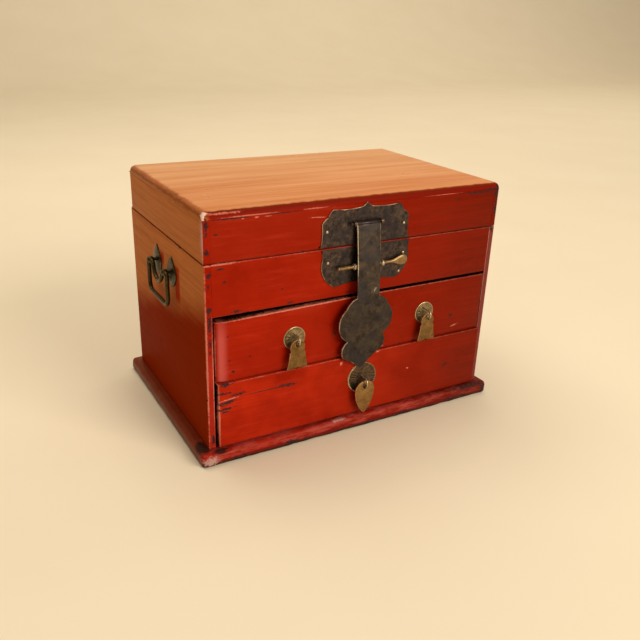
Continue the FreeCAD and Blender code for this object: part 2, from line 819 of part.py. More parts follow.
def save_lid():
    """The boards of the lid and its hinges."""
    save("lid_top_panel", lid_top_board())
    save("lid_left_board", side_board(-1, lid_wall_thickness, lid_bottom, lid_wall_top))
    save("lid_right_board", side_board(1, lid_wall_thickness, lid_bottom, lid_wall_top))
    save("lid_front_board", lid_front_board())
    save("lid_back_board", lid_back_board())
    sides = (-hinge_offset, hinge_offset)
    save("hinge_lid_leaves", *[hinge_leaf(x, 1) for x in sides])
    save("hinge_case_leaves", *[hinge_leaf(x, -1) for x in sides])
    save("hinge_pins", *[hinge_pin(x) for x in sides])
    save("hinge_lid_nails", *[nail(seat, to_back) for seat in hinge_spots(hinge_nail_height)])
    save("hinge_case_nails", *[nail(seat, to_back) for seat in hinge_spots(-hinge_nail_height)])


def save_lock():
    """The lock plates, the hasp and the lock pin."""
    save("lock_plate_upper", upper_lock_plate())
    save("lock_plate_lower", lower_lock_plate())
    save("lock_plate_upper_nails", *[nail(seat, to_front) for seat in upper_plate_nails()])
    save("lock_plate_lower_nails", *[nail(seat, to_front) for seat in lower_plate_nails()])
    save("lock_eyelets", *lock_eyelets())
    save("lock_pin", lock_pin())
    save("hasp_hinge_eyes", *hasp_eyes())
    save("hasp_hinge_pin", hasp_pin())
    save("hasp", hasp())


def save_handles():
    """The bail handle on each side."""
    for name, sign in (("left", -1), ("right", 1)):
        posts = handle_posts(sign)
        save(name + "_handle_plates", *[spear_plate(sign, post) for post in posts])
        save(name + "_handle_posts", *[handle_post(sign, post) for post in posts])
        save(name + "_handle_bail", bail(sign))


def save_upper_drawers():
    """The two small drawers, side by side above the long one."""
    level = upper_front_bottom + upper_pull_height
    outer = inner_half - front_side_gap
    meeting = front_meeting_gap / 2
    divider = divider_thickness / 2 + drawer_clearance
    tray_bottom = shelf_top + drawer_clearance
    drawers = (("left", -1, left_pull_offset, left_front_slope), ("right", 1, right_pull_offset, 0))
    for name, sign, offset, slope in drawers:
        x = sign * offset
        left, right = sorted((sign * outer, sign * meeting))
        tray_left, tray_right = sorted((sign * outer, sign * divider))
        holes = staple_holes(x, level + upper_staple_rise)
        save(name + "_drawer_front",
             drawer_front(left, right, upper_front_face, upper_front_bottom, upper_front_top - slope,
                          upper_front_top, holes))
        drawer_tray(name, tray_left, tray_right, tray_bottom, rail_bottom - upper_drawer_headroom)
        save_pull(name, x, upper_front_face, level, upper_staple_rise, upper_pull_plate_radius, bell_pendant)


def save_lower_drawer():
    """The long drawer, which sits to the right in its bay."""
    middle = lower_drawer_shift
    half = inner_half - lower_drawer_play
    x = middle + lower_pull_offset
    holes = staple_holes(x, lower_pull_level + lower_staple_rise)
    save("lower_drawer_front",
         drawer_front(middle - half, middle + half, lower_front_face, lower_front_bottom, lower_front_top,
                      lower_front_top, holes))
    drawer_tray("lower", middle - half, middle + half, plinth_height + drawer_clearance,
                shelf_bottom - lower_drawer_headroom)
    save_pull("lower", x, lower_front_face, lower_pull_level, lower_staple_rise, lower_pull_plate_radius,
              leaf_pendant)


os.makedirs("parts", exist_ok=True)
save_case()
save_lid()
save_lock()
save_handles()
save_upper_drawers()
save_lower_drawer()
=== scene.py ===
import json
import math

import bmesh
import bpy
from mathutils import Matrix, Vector


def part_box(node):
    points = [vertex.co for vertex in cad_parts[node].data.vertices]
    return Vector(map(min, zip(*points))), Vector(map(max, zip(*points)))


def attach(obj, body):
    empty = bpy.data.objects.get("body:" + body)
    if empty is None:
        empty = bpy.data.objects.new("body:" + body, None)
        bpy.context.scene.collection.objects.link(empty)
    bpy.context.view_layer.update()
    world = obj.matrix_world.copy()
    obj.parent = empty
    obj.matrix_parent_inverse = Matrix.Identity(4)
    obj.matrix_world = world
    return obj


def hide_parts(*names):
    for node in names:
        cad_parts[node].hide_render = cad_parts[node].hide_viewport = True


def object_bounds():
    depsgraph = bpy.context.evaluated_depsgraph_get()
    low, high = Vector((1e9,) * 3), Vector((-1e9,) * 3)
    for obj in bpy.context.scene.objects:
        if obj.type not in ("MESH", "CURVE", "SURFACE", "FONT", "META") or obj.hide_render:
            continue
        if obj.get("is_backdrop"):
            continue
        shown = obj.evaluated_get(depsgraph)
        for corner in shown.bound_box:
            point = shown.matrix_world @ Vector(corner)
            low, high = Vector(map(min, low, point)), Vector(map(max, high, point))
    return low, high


# The looks of a red lacquered chest: a lid over a compartment, three drawers, a bronze hasp, brass pulls.
# Places and sizes of the chest are listed in millimetres, and MM turns them into metres. Those of the
# camera, the floor and the lamps are in metres.

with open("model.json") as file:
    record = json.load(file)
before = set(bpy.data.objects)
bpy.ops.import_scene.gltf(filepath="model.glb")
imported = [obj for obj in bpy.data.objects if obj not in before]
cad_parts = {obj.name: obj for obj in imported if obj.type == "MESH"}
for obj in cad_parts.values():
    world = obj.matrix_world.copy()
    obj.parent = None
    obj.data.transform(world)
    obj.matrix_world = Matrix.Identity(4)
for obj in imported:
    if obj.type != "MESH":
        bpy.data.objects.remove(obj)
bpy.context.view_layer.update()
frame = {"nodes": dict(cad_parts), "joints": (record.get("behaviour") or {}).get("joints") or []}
scene = bpy.context.scene
MM = 0.001
UP = Vector((0, 0, 1))
TO_RIGHT = Vector((1, 0, 0))
TO_FRONT = Vector((0, -1, 0))

# Kinds of node. A list fills a node's inputs in order: a mix has its share, under and over, a range its
# value, start, end, low and high, and a noise its place, scale, detail and roughness.
MATH = "ShaderNodeMath"
MIX = "ShaderNodeMix"
NOISE = "ShaderNodeTexNoise"
RANGE = "ShaderNodeMapRange"
MAPPING = "ShaderNodeMapping"
SEPARATE = "ShaderNodeSeparateXYZ"
BUMP = "ShaderNodeBump"


# Places of the boards, from the frame

def span(*names):
    """The box around some CAD nodes."""
    boxes = [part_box(name) for name in names]
    low = Vector([min(box[0][axis] for box in boxes) for axis in range(3)])
    high = Vector([max(box[1][axis] for box in boxes) for axis in range(3)])
    return low, high


lid_low, lid_high = span(
    "lid_top_panel", "lid_left_board", "lid_right_board", "lid_front_board", "lid_back_board")
case_low, case_high = span("left_side_panel", "right_side_panel", "back_panel")
rail_low, rail_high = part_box("front_rail")
# The rail's ends meet the sides, so only its long edges wear
rail_low.x, rail_high.x = case_low.x, case_high.x


# Places and sizes of the fittings, from the frame where it has them

def in_mm(place):
    """A place of the frame in mm, rounded to a thousandth."""
    return [round(metres / MM, 3) for metres in place]


def box_mm(node):
    """The low and high corner of a CAD node's box, in mm."""
    return [in_mm(corner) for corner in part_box(node)]


PIVOTS = {joint["name"]: in_mm(joint["pos_m"]) for joint in frame["joints"] if "pos_m" in joint}
LEFT, FACE, LID_FOOT = in_mm(lid_low)
RIGHT, _, CASE_TOP = in_mm(case_high)
PLATE_THICKNESS, PENDANT_THICKNESS = 1.2, 1.4
(plate_left, _, _), (plate_right, _, _) = box_mm("lock_plate_lower")
PLATE_SHIFT = (plate_left + plate_right) / 2

_, _, HANDLE_LEVEL = PIVOTS["left_bail_swing"]
SPEAR_HALF = 15
(_, spear_front, spear_foot), (_, spear_back, spear_tip) = box_mm("left_handle_plates")
HANDLE_PLATES = (spear_front + SPEAR_HALF, spear_back - SPEAR_HALF)
SPEAR_BOTTOM, SPEAR_TOP = spear_foot - HANDLE_LEVEL, spear_tip - HANDLE_LEVEL
RIDGE_HEIGHT, RIDGE_REACH, RIDGE_FADE = 1.4, 12, 10

SMALL_PLATE_RADIUS, LOWER_PLATE_RADIUS = 12.8, 18.8
PENDANT_HOLE, BOSS_BORDER = 2.75, 1.2
BEAD_COUNT, BEAD_RADIUS, BEAD_DEPTH, BEAD_INSET = 52, 0.85, 0.6, 1.0

(PIN_LEFT, pin_front, pin_foot), (_, pin_back, pin_top) = box_mm("lock_pin")
LOCK_PIN, PIN_LEVEL = (pin_front + pin_back) / 2, (pin_foot + pin_top) / 2
_, HASP_PIN, HASP_PIVOT = PIVOTS["hasp_swing"]
STRAP_END, TONGUE_TIP = 162.8, 75.3
PIVOT_DEPTH, PIN_DEPTH, BOW_DEPTH, TIP_DEPTH = 3.4, 9.1, 11.3, 6.2
HASP_THICKNESS = 2
STRAP_HALF, STRAP_WIDENING, STRAP_RUN, STRAP_STEPS = 13.8, 0.6, 79, 24
HASP_COLUMNS, HASP_RIM = 25, 1.1
BRIGHT_FROM, BRIGHT_RUN = 180, 25
STRAP_FACE = -131.5
KNUCKLE_LENGTH = 28.8
EYELETS, EYELET_LENGTH = (-14.5, 20.0), 4.0
PIN_NECK, NECK_RUN, SPOON_FLATNESS = 31, 10, 0.7
RIB_COUNT, RIB_STEP = 8, 2.0

SWEEP_LENGTH, SWEEP_DEPTH, SWEEP_CUTS, SWEEP_STEP = 13, 3.4, 8, 1.6
SWEEP_SKIN, TOP_SLOPE, SLOPE_ABOVE = 6, 3.0, 30
PLINTH_CUTS, DENT_SIZE, DENT_DEPTH = (54, 36), 14, 1.5
FLOOR_SIZE, FLOOR_STRETCH, FLOOR_FRONT, WALL_HEIGHT, WALL_CURVE = 12, 20, 100, 9, 2.5


# Hand work on meshes

def hold(piece):
    """Makes one piece the only one selected."""
    bpy.ops.object.select_all(action="DESELECT")
    piece.select_set(True)
    bpy.context.view_layer.objects.active = piece


def pick(kind, test):
    """In edit mode, selects only the vertices, edges or faces that pass a test."""
    bpy.ops.mesh.select_mode(type=kind)
    bpy.ops.mesh.select_all(action="DESELECT")
    mesh = bmesh.from_edit_mesh(bpy.context.edit_object.data)
    for item in {"VERT": mesh.verts, "EDGE": mesh.edges, "FACE": mesh.faces}[kind]:
        if test(item):
            item.select_set(True)
    bmesh.update_edit_mesh(bpy.context.edit_object.data)


def edit(piece, on=True):
    """Goes into a piece's edit mode, or out of it."""
    if on:
        hold(piece)
    bpy.ops.object.mode_set(mode="EDIT" if on else "OBJECT")


def cut(place, direction):
    """In edit mode, cuts the whole piece along a plane."""
    bpy.ops.mesh.select_all(action="SELECT")
    bpy.ops.mesh.bisect(plane_co=place, plane_no=direction)


def finish_with(piece, kind, **settings):
    """Adds a modifier to a piece and applies it."""
    hold(piece)
    modifier = piece.modifiers.new(kind.lower(), kind)
    for key, value in settings.items():
        setattr(modifier, key, value)
    bpy.ops.object.modifier_apply(modifier=modifier.name)


def ease(piece, width, segments):
    """Rounds a sheet's sharp edges."""
    finish_with(piece, "BEVEL", width=width * MM, segments=segments, limit_method="ANGLE",
                angle_limit=math.radians(60))


def smooth(piece, degrees=40):
    """Smooth shading that keeps edges sharper than an angle."""
    hold(piece)
    bpy.ops.object.shade_smooth_by_angle(angle=math.radians(degrees))


def join(pieces):
    """Joins pieces into the first of them."""
    hold(pieces[0])
    for piece in pieces[1:]:
        piece.select_set(True)
    if len(pieces) > 1:
        bpy.ops.object.join()
    return pieces[0]


def settle(piece, name, body, slot, material, *stands_for):
    """Names a finished piece, dresses it and hangs it on its body in place of CAD nodes."""
    piece.name = name
    piece.data.name = name
    piece.data.materials.clear()
    piece.data.materials.append(material)
    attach(piece, body)
    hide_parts(*stands_for)


def closed(piece):
    """Merges a piece's doubles and turns its faces outwards."""
    edit(piece)
    bpy.ops.mesh.select_all(action="SELECT")
    bpy.ops.mesh.remove_doubles(threshold=MM / 1000)
    bpy.ops.mesh.normals_make_consistent(inside=False)
    edit(piece, False)


# Hand work on materials

def linear(code):
    """An sRGB hex colour as the linear colour that a shader takes."""
    parts = [int(code[i:i + 2], 16) / 255 for i in (1, 3, 5)]
    return tuple(p / 12.92 if p <= 0.04045 else ((p + 0.055) / 1.055) ** 2.4 for p in parts) + (1.0,)


def add(tree, kind, inputs=(), **settings):
    """Adds a node with its settings, fills or links its inputs in order or by name, and gives its first
    output. A hex colour is made linear."""
    node = tree.nodes.new(kind)
    for key, value in settings.items():
        setattr(node, key, value)
    live = [socket for socket in node.inputs if socket.enabled]
    pairs = inputs.items() if isinstance(inputs, dict) else zip(live, inputs)
    for key, value in pairs:
        socket = node.inputs[key] if isinstance(key, str) else key
        if isinstance(value, bpy.types.NodeSocket):
            tree.links.new(value, socket)
        else:
            socket.default_value = linear(value) if isinstance(value, str) else value
    return next(socket for socket in node.outputs if socket.enabled)


def streaks(tree, place, sizes, detail, roughness=0.5):
    """Grain or brush marks: noise drawn out to three sizes in mm along X, Y and Z."""
    drawn = add(tree, MAPPING, {"Vector": place, "Scale": [1 / (size * MM) for size in sizes]})
    return add(tree, NOISE, [drawn, 1.0, detail, roughness])


def along(grain, long, fine):
    """Sizes of streaks that run along one axis."""
    return [long if axis == grain else fine for axis in range(3)]


def new_material(name, **sockets):
    """A material with constants set on its shader, then its node tree, shader inputs and coordinates."""
    material = bpy.data.materials.new(name)
    material.use_nodes = True
    tree = material.node_tree
    shader = tree.nodes["Principled BSDF"]
    for key, value in sockets.items():
        shader.inputs[key.replace("_", " ").title().replace("Ior", "IOR")].default_value = value
    return material, tree, shader.inputs, add(tree, "ShaderNodeTexCoord").node.outputs


def edge_distance(tree, place, low, high):
    """Metres to a board's nearest edge: the middle one of the distances to its three pairs of faces."""
    near = []
    for axis, a, b in zip(add(tree, SEPARATE, [place]).node.outputs, low, high):
        offset = add(tree, MATH, [axis, (a + b) / 2], operation="SUBTRACT")
        offset = add(tree, MATH, [offset], operation="ABSOLUTE")
        near.append(add(tree, MATH, [(b - a) / 2, offset], operation="SUBTRACT"))
    small = add(tree, MATH, near[:2], operation="MINIMUM")
    large = add(tree, MATH, near[:2], operation="MAXIMUM")
    large = add(tree, MATH, [large, near[2]], operation="MINIMUM")
    return add(tree, MATH, [small, large], operation="MAXIMUM")


def spot_reach(tree, place, middle, half, tilt=0.0):
    """How far a point is from the middle of a spot, in shares of the spot's half sizes."""
    local = add(tree, MAPPING, {
        "Vector": place, "Location": Vector(middle) * MM, "Rotation": (0, math.radians(tilt), 0),
        "Scale": Vector(half) * MM}, vector_type="TEXTURE")
    return add(tree, "ShaderNodeVectorMath", [local], operation="LENGTH").node.outputs["Value"]


def ragged_spots(tree, place, rough, face, spots):
    """A mask of ragged spots on an upright front. Each is (x, z, half length, half height, tilt), in mm and
    degrees. Long thin ones, for rubbed edges, painted edge highlights and dark lines, are less ragged."""
    mask = None
    for x, z, length, height, tilt in spots:
        reach = spot_reach(tree, place, (x, face / MM, z), (length, 7, height), tilt)
        ragged = 2.4 if max(length, height) > 25 * min(length, height) else 5.0
        reach = add(tree, MATH, [rough, ragged, reach], operation="MULTIPLY_ADD")
        spot = add(tree, RANGE, [reach, ragged / 2 + 1.25, ragged / 2 + 0.55])
        mask = spot if mask is None else add(tree, MATH, [mask, spot], operation="MAXIMUM")
    return mask


def lacquer(name, low, high, grain, red, deep, rub_and_highlight_strength=1.0, chips=1.0, shine=0.08, rub_and_highlight="#D48E7C", tint=None,
            dark=(), pale=(), bare_and_highlight="#C4705E"):
    """Red oil lacquer brushed over softwood, old and handled: a satin gloss that mirrors a warm room, the
    wood's grain showing through, upper and left edges rubbed pale pink as wear and as a painted highlight,
    darker along the lower edges, painted shade towards the right, ragged chips down to a blue-black
    ground coat, and small dark specks."""
    material, tree, shader, coords = new_material(
        name, specular_ior_level=shine, specular_tint=linear("#FFC48C"))
    place = coords["Object"]
    x, _, z = add(tree, SEPARATE, [place]).node.outputs
    lines = streaks(tree, place, along(grain, 110, 2.2), 4.0, 0.6)
    clouds = add(tree, NOISE, [place, 1 / (48 * MM), 3.0, 0.55])
    wobble = add(tree, NOISE, [place, 1 / (7 * MM), 4.0, 0.65])
    fray = add(tree, NOISE, [place, 1 / (2.4 * MM), 3.0, 0.6])
    rough = add(tree, MIX, [0.55, wobble, fray])
    brushed = streaks(tree, place, along(grain, 60, 7), 5.0, 0.65)
    clusters = add(tree, NOISE, [place, 1 / (26 * MM), 2.0])
    edge = edge_distance(tree, place, low, high)

    # Painted shade: the colour darkens towards the right, where less light reaches.
    painted_shade_right = add(tree, RANGE, [x, -100 * MM, 180 * MM])
    tone = add(tree, RANGE, [clouds, 0.3, 0.7])
    colour = add(tree, MIX, [tone, deep, red], data_type="RGBA")
    streak = add(tree, RANGE, [brushed, 0.52, 0.7, 0.0, 0.35])
    colour = add(tree, MIX, [streak, colour, "#B83420"], data_type="RGBA")
    colour = add(tree, MIX, [painted_shade_right, colour, "#601000"], data_type="RGBA")
    streak = add(tree, RANGE, [lines, 0.42, 0.72, 0.0, 0.5])
    colour = add(tree, MIX, [streak, colour, deep], data_type="RGBA")
    if tint:
        colour = tint(tree, coords, colour, lines)

    # Darker along each board's lower edge.
    darker_lower_edge = add(tree, MATH, [rough, -2.4 * MM, z], operation="MULTIPLY_ADD")
    darker_lower_edge = add(tree, RANGE, [darker_lower_edge, low.z + 0.6 * MM, low.z - 0.9 * MM, 0.0, 0.6])
    colour = add(tree, MIX, [darker_lower_edge, colour, "#3A0A04"], data_type="RGBA")

    # Rubbed edges, also a painted highlight: pale pink, strongest on upper and left edges, where light
    # catches them.
    rubbed_and_highlit = add(tree, MATH, [rough, -2.6 * MM, edge], operation="MULTIPLY_ADD")
    rubbed_and_highlit = add(tree, RANGE, [rubbed_and_highlit, -0.2 * MM, -1.2 * MM, 0.0, 0.85 * rub_and_highlight_strength])
    patchy = add(tree, RANGE, [clusters, 0.36, 0.58, 0.4])
    upper = add(tree, RANGE, [z, low.z, high.z - 2 * MM, 0.25])
    left = add(tree, RANGE, [x, low.x, high.x, 1.0, 0.45])
    for share in (patchy, upper, left):
        rubbed_and_highlit = add(tree, MATH, [rubbed_and_highlit, share], operation="MULTIPLY")
    colour = add(tree, MIX, [rubbed_and_highlit, colour, rub_and_highlight], data_type="RGBA")

    speck = add(tree, "ShaderNodeTexVoronoi", {"Vector": place, "Scale": 1 / (9 * MM)})
    chosen = add(tree, SEPARATE, [speck.node.outputs["Color"]]).node.outputs["X"]
    size = add(tree, RANGE, [chosen, 0.42, 1.0, 0.0, 0.11])
    size = add(tree, MATH, [fray, 0.08, size], operation="MULTIPLY_ADD")
    size = add(tree, MATH, [size, add(tree, MATH, [speck, 0.055], operation="ADD")], operation="SUBTRACT")
    specks = add(tree, RANGE, [size, 0.0, 0.03, 0.0, 0.7])
    colour = add(tree, MIX, [specks, colour, "#42100C"], data_type="RGBA")

    # Pale spots: the small ones rubbed through, the thin lines along edges and the corner spots painted
    # highlights.
    if pale:
        worn = ragged_spots(tree, place, rough, low.y, pale)
        colour = add(tree, MIX, [worn, colour, bare_and_highlight], data_type="RGBA")

    depth = add(tree, MATH, [edge, -62.0, rough], operation="MULTIPLY_ADD")
    depth = add(tree, MATH, [clusters, 0.45, depth], operation="MULTIPLY_ADD")
    broken = add(tree, RANGE, [depth, 0.85 - 0.05 * chips, 0.9 - 0.05 * chips])
    if dark:
        chipped = ragged_spots(tree, place, rough, low.y, dark)
        broken = add(tree, MATH, [broken, chipped], operation="MAXIMUM")
    ground = add(tree, MIX, [fray, "#141116", "#3A3032"], data_type="RGBA")
    shown = add(tree, MATH, [broken, 0.92], operation="MULTIPLY")
    colour = add(tree, MIX, [shown, colour, ground], data_type="RGBA")
    tree.links.new(colour, shader["Base Color"])

    gloss = add(tree, MATH, [clouds, 0.22, 0.2], operation="MULTIPLY_ADD")
    gloss = add(tree, MATH, [rubbed_and_highlit, 0.15, gloss], operation="MULTIPLY_ADD")
    gloss = add(tree, MATH, [broken, 0.4, gloss], operation="MULTIPLY_ADD")
    tree.links.new(gloss, shader["Roughness"])

    sunken = add(tree, MATH, [broken, -1.0], operation="MULTIPLY")
    height = add(tree, MATH, [lines, 0.5, sunken], operation="MULTIPLY_ADD")
    grained = add(tree, BUMP, {"Height": height, "Strength": 0.4, "Distance": 0.3 * MM})
    planed = add(tree, BUMP, {"Height": clouds, "Strength": 0.25, "Distance": 2.5 * MM, "Normal": grained})
    tree.links.new(planed, shader["Normal"])
    return material


def metal(name, dark, light, bright, mottle, roughness, fleck, metallic=0.9, tarnish=None, worn=()):
    """Old cast and hammered copper alloy: patina in cloudy patches with flecks of another brown, rubbed
    bright along its rims as wear and as a painted highlight, here and there stained by tarnish. Real grit is
    too fine to show, so it is drawn coarser."""
    material, tree, shader, coords = new_material(name, metallic=metallic)
    place = coords["Object"]
    patches = add(tree, NOISE, [place, 1 / (mottle * MM), 6.0, 0.68])
    grit = add(tree, NOISE, [place, 1 / (1.3 * MM), 3.0])
    moved = add(tree, MAPPING, {"Vector": place, "Location": (0.31, 0.17, 0.23)})
    flecks = add(tree, NOISE, [moved, 1 / (3.4 * MM), 5.0, 0.7])
    rubs = add(tree, NOISE, [place, 1 / (9 * MM), 2.0])
    colour = add(tree, MIX, [add(tree, RANGE, [patches, 0.36, 0.66]), dark, light], data_type="RGBA")
    flecks = add(tree, RANGE, [flecks, 0.53, 0.7, 0.0, 0.6])
    colour = add(tree, MIX, [flecks, colour, fleck], data_type="RGBA")
    if tarnish:
        stain = add(tree, NOISE, [place, 1 / (19 * MM), 4.0, 0.6])
        stain = add(tree, RANGE, [stain, 0.48, 0.62, 0.0, 0.75])
        colour = add(tree, MIX, [stain, colour, tarnish], data_type="RGBA")
    if worn:
        scuffs = ragged_spots(tree, place, grit, STRAP_FACE * MM, worn)
        colour = add(tree, MIX, [scuffs, colour, "#8C8C8A"], data_type="RGBA")
    # Rims brightened: rubbing, and a painted highlight where the rim faces up and left.
    rim = add(tree, "ShaderNodeAttribute", attribute_name="rim").node.outputs["Fac"]
    rim = add(tree, MATH, [grit, 0.7, rim], operation="MULTIPLY_ADD")
    rim = add(tree, MATH, [rubs, 1.3, rim], operation="MULTIPLY_ADD")
    rim = add(tree, RANGE, [rim, 1.4, 1.9, 0.0, 0.9])
    colour = add(tree, MIX, [rim, colour, bright], data_type="RGBA")
    tree.links.new(colour, shader["Base Color"])
    gloss = add(tree, MATH, [patches, -0.25, roughness + 0.13], operation="MULTIPLY_ADD")
    gloss = add(tree, MATH, [rim, -0.12, gloss], operation="MULTIPLY_ADD")
    tree.links.new(gloss, shader["Roughness"])
    height = add(tree, MATH, [grit, 0.25, patches], operation="MULTIPLY_ADD")
    hammered = add(tree, BUMP, {"Height": height, "Strength": 0.4, "Distance": 0.5 * MM})
    tree.links.new(hammered, shader["Normal"])
    return material


def softwood(name, grain):
    """Bare planed softwood inside the chest, browned with age: dull, with long darker growth lines."""
    material, tree, shader, coords = new_material(name, specular_ior_level=0.3)
    lines = streaks(tree, coords["Object"], along(grain, 150, 5), 5.0, 0.6)
    stain = add(tree, NOISE, [coords["Object"], 1 / (60 * MM), 3.0])
    colour = add(tree, MIX, [add(tree, RANGE, [lines, 0.38, 0.62]), "#8A5F38", "#BE9160"], data_type="RGBA")
    stain = add(tree, RANGE, [stain, 0.45, 0.75, 0.0, 0.5])
    colour = add(tree, MIX, [stain, colour, "#6B4426"], data_type="RGBA")
    tree.links.new(colour, shader["Base Color"])
    tree.links.new(add(tree, MATH, [lines, 0.2, 0.55], operation="MULTIPLY_ADD"), shader["Roughness"])
    planed = add(tree, BUMP, {"Height": lines, "Strength": 0.3, "Distance": 0.4 * MM})
    tree.links.new(planed, shader["Normal"])
    return material


# Camera, floor and light

lens = bpy.data.cameras.new("camera")
lens.lens = 40.195
lens.clip_start = 0.01
camera = bpy.data.objects.new("camera", lens)
camera.location = (-0.401388, -0.722535, 0.436459)
camera.rotation_euler = (1.168138, -0.032674, -0.512359)
scene.collection.objects.link(camera)
scene.camera = camera
scene.view_settings.view_transform = "Standard"


def studio():
    """A pale floor that curves up into a backdrop, under large soft lamps."""
    bpy.ops.object.select_all(action="DESELECT")
    bpy.ops.mesh.primitive_plane_add(size=FLOOR_SIZE)
    floor = bpy.context.object
    edit(floor)
    bpy.ops.transform.resize(value=(FLOOR_STRETCH, 1, 1))
    pick("VERT", lambda vertex: vertex.co.y < 0)
    bpy.ops.transform.translate(value=(0, -FLOOR_FRONT, 0))
    pick("EDGE", lambda edge: all(vertex.co.y > 0 for vertex in edge.verts))
    bpy.ops.mesh.extrude_region_move(TRANSFORM_OT_translate={"value": (0, 0, WALL_HEIGHT)})
    pick("EDGE", lambda edge: all(vertex.co.y > 0 and vertex.co.z < 1 for vertex in edge.verts))
    bpy.ops.mesh.bevel(offset=WALL_CURVE, segments=24, affect="EDGES")
    edit(floor, False)
    floor.name = "floor"
    smooth(floor, 60)
    material, tree, shader, coords = new_material("painted plaster", roughness=0.7, specular_ior_level=0.2)
    dust = add(tree, NOISE, [coords["Object"], 1 / (300 * MM), 3.0])
    tree.links.new(add(tree, MIX, [dust, "#E9DDC5", "#F0E6D0"], data_type="RGBA"), shader["Base Color"])
    floor.data.materials.append(material)
    floor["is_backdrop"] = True

    for name, place, aim, size, power in (
        ("key", (1.0, -2.6, 1.5), (0, 0, 0.12), 1.6, 74),
        ("top", (-0.3, 0.8, 2.2), (0, 0, 0.12), 1.6, 24),
        ("backdrop", (2.6, 1.6, 4.0), (3.6, 6.0, 0.8), 4.0, 110),
    ):
        lamp = bpy.data.lights.new(name, "AREA")
        lamp.size = size
        lamp.energy = power
        lamp.color = linear("#FFF3E2")[:3]
        light = bpy.data.objects.new(name, lamp)
        light.location = place
        light.rotation_euler = (Vector(aim) - Vector(place)).to_track_quat("-Z", "Y").to_euler()
        scene.collection.objects.link(light)
    # The room gives a soft light, and is itself seen and mirrored in a duller tone
    world = bpy.data.worlds.new("room")
    world.use_nodes = True
    tree = world.node_tree
    light = add(tree, "ShaderNodeBackground", ["#FFEFD6", 0.4])
    seen = add(tree, "ShaderNodeBackground", ["#B0A082", 1.0])
    rays = add(tree, "ShaderNodeLightPath").node.outputs
    mirrored = add(tree, MATH, [rays["Is Glossy Ray"], rays["Is Transmission Ray"]], operation="MAXIMUM")
    looking = add(tree, MATH, [rays["Is Camera Ray"], mirrored], operation="MAXIMUM")
    view = add(tree, "ShaderNodeMixShader", [looking, light, seen])
    tree.links.new(view, tree.nodes["World Output"].inputs["Surface"])
    scene.world = world


studio()


# Lacquered boards

FACES = (("left", "right"), ("front", "back"), ("bottom", "top"))


def board(node, radii, easing=0.6):
    """A board at its CAD place: a cube whose edges are eased, each by its own radius in mm.

    radii names one edge by the two faces it joins, or all the edges of a face."""
    low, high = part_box(node)
    middle = (low + high) / 2
    bpy.ops.object.select_all(action="DESELECT")
    bpy.ops.mesh.primitive_cube_add(size=1, location=middle, scale=high - low)
    piece = bpy.context.object
    bpy.ops.object.transform_apply(location=True, rotation=True, scale=True)
    weights = []
    for edge in piece.data.edges:
        centre = sum((piece.data.vertices[i].co for i in edge.vertices), Vector()) / 2
        ends = [FACES[i][centre[i] > middle[i]] for i in range(3) if abs(centre[i] - middle[i]) > 0.01 * MM]
        both = radii.get(" ".join(ends))
        weights.append(both or max(radii.get(end, 0) for end in ends) or easing)
    width = max(weights)
    layer = piece.data.attributes.new("bevel_weight_edge", "FLOAT", "EDGE")
    layer.data.foreach_set("value", [weight / width for weight in weights])
    finish_with(piece, "BEVEL", width=width * MM, limit_method="WEIGHT", segments=4)
    closed(piece)
    smooth(piece)
    return piece, low, high


# Painted highlights on the lid's near corner, drawn as pale spots: middle x and z, half length and height in
# mm, tilt
LID_CORNER_HIGHLIGHTS = ((-178.4, 264.0, 1.2, 2.6, 0), (-176.0, 266.9, 3.0, 1.2, 0))


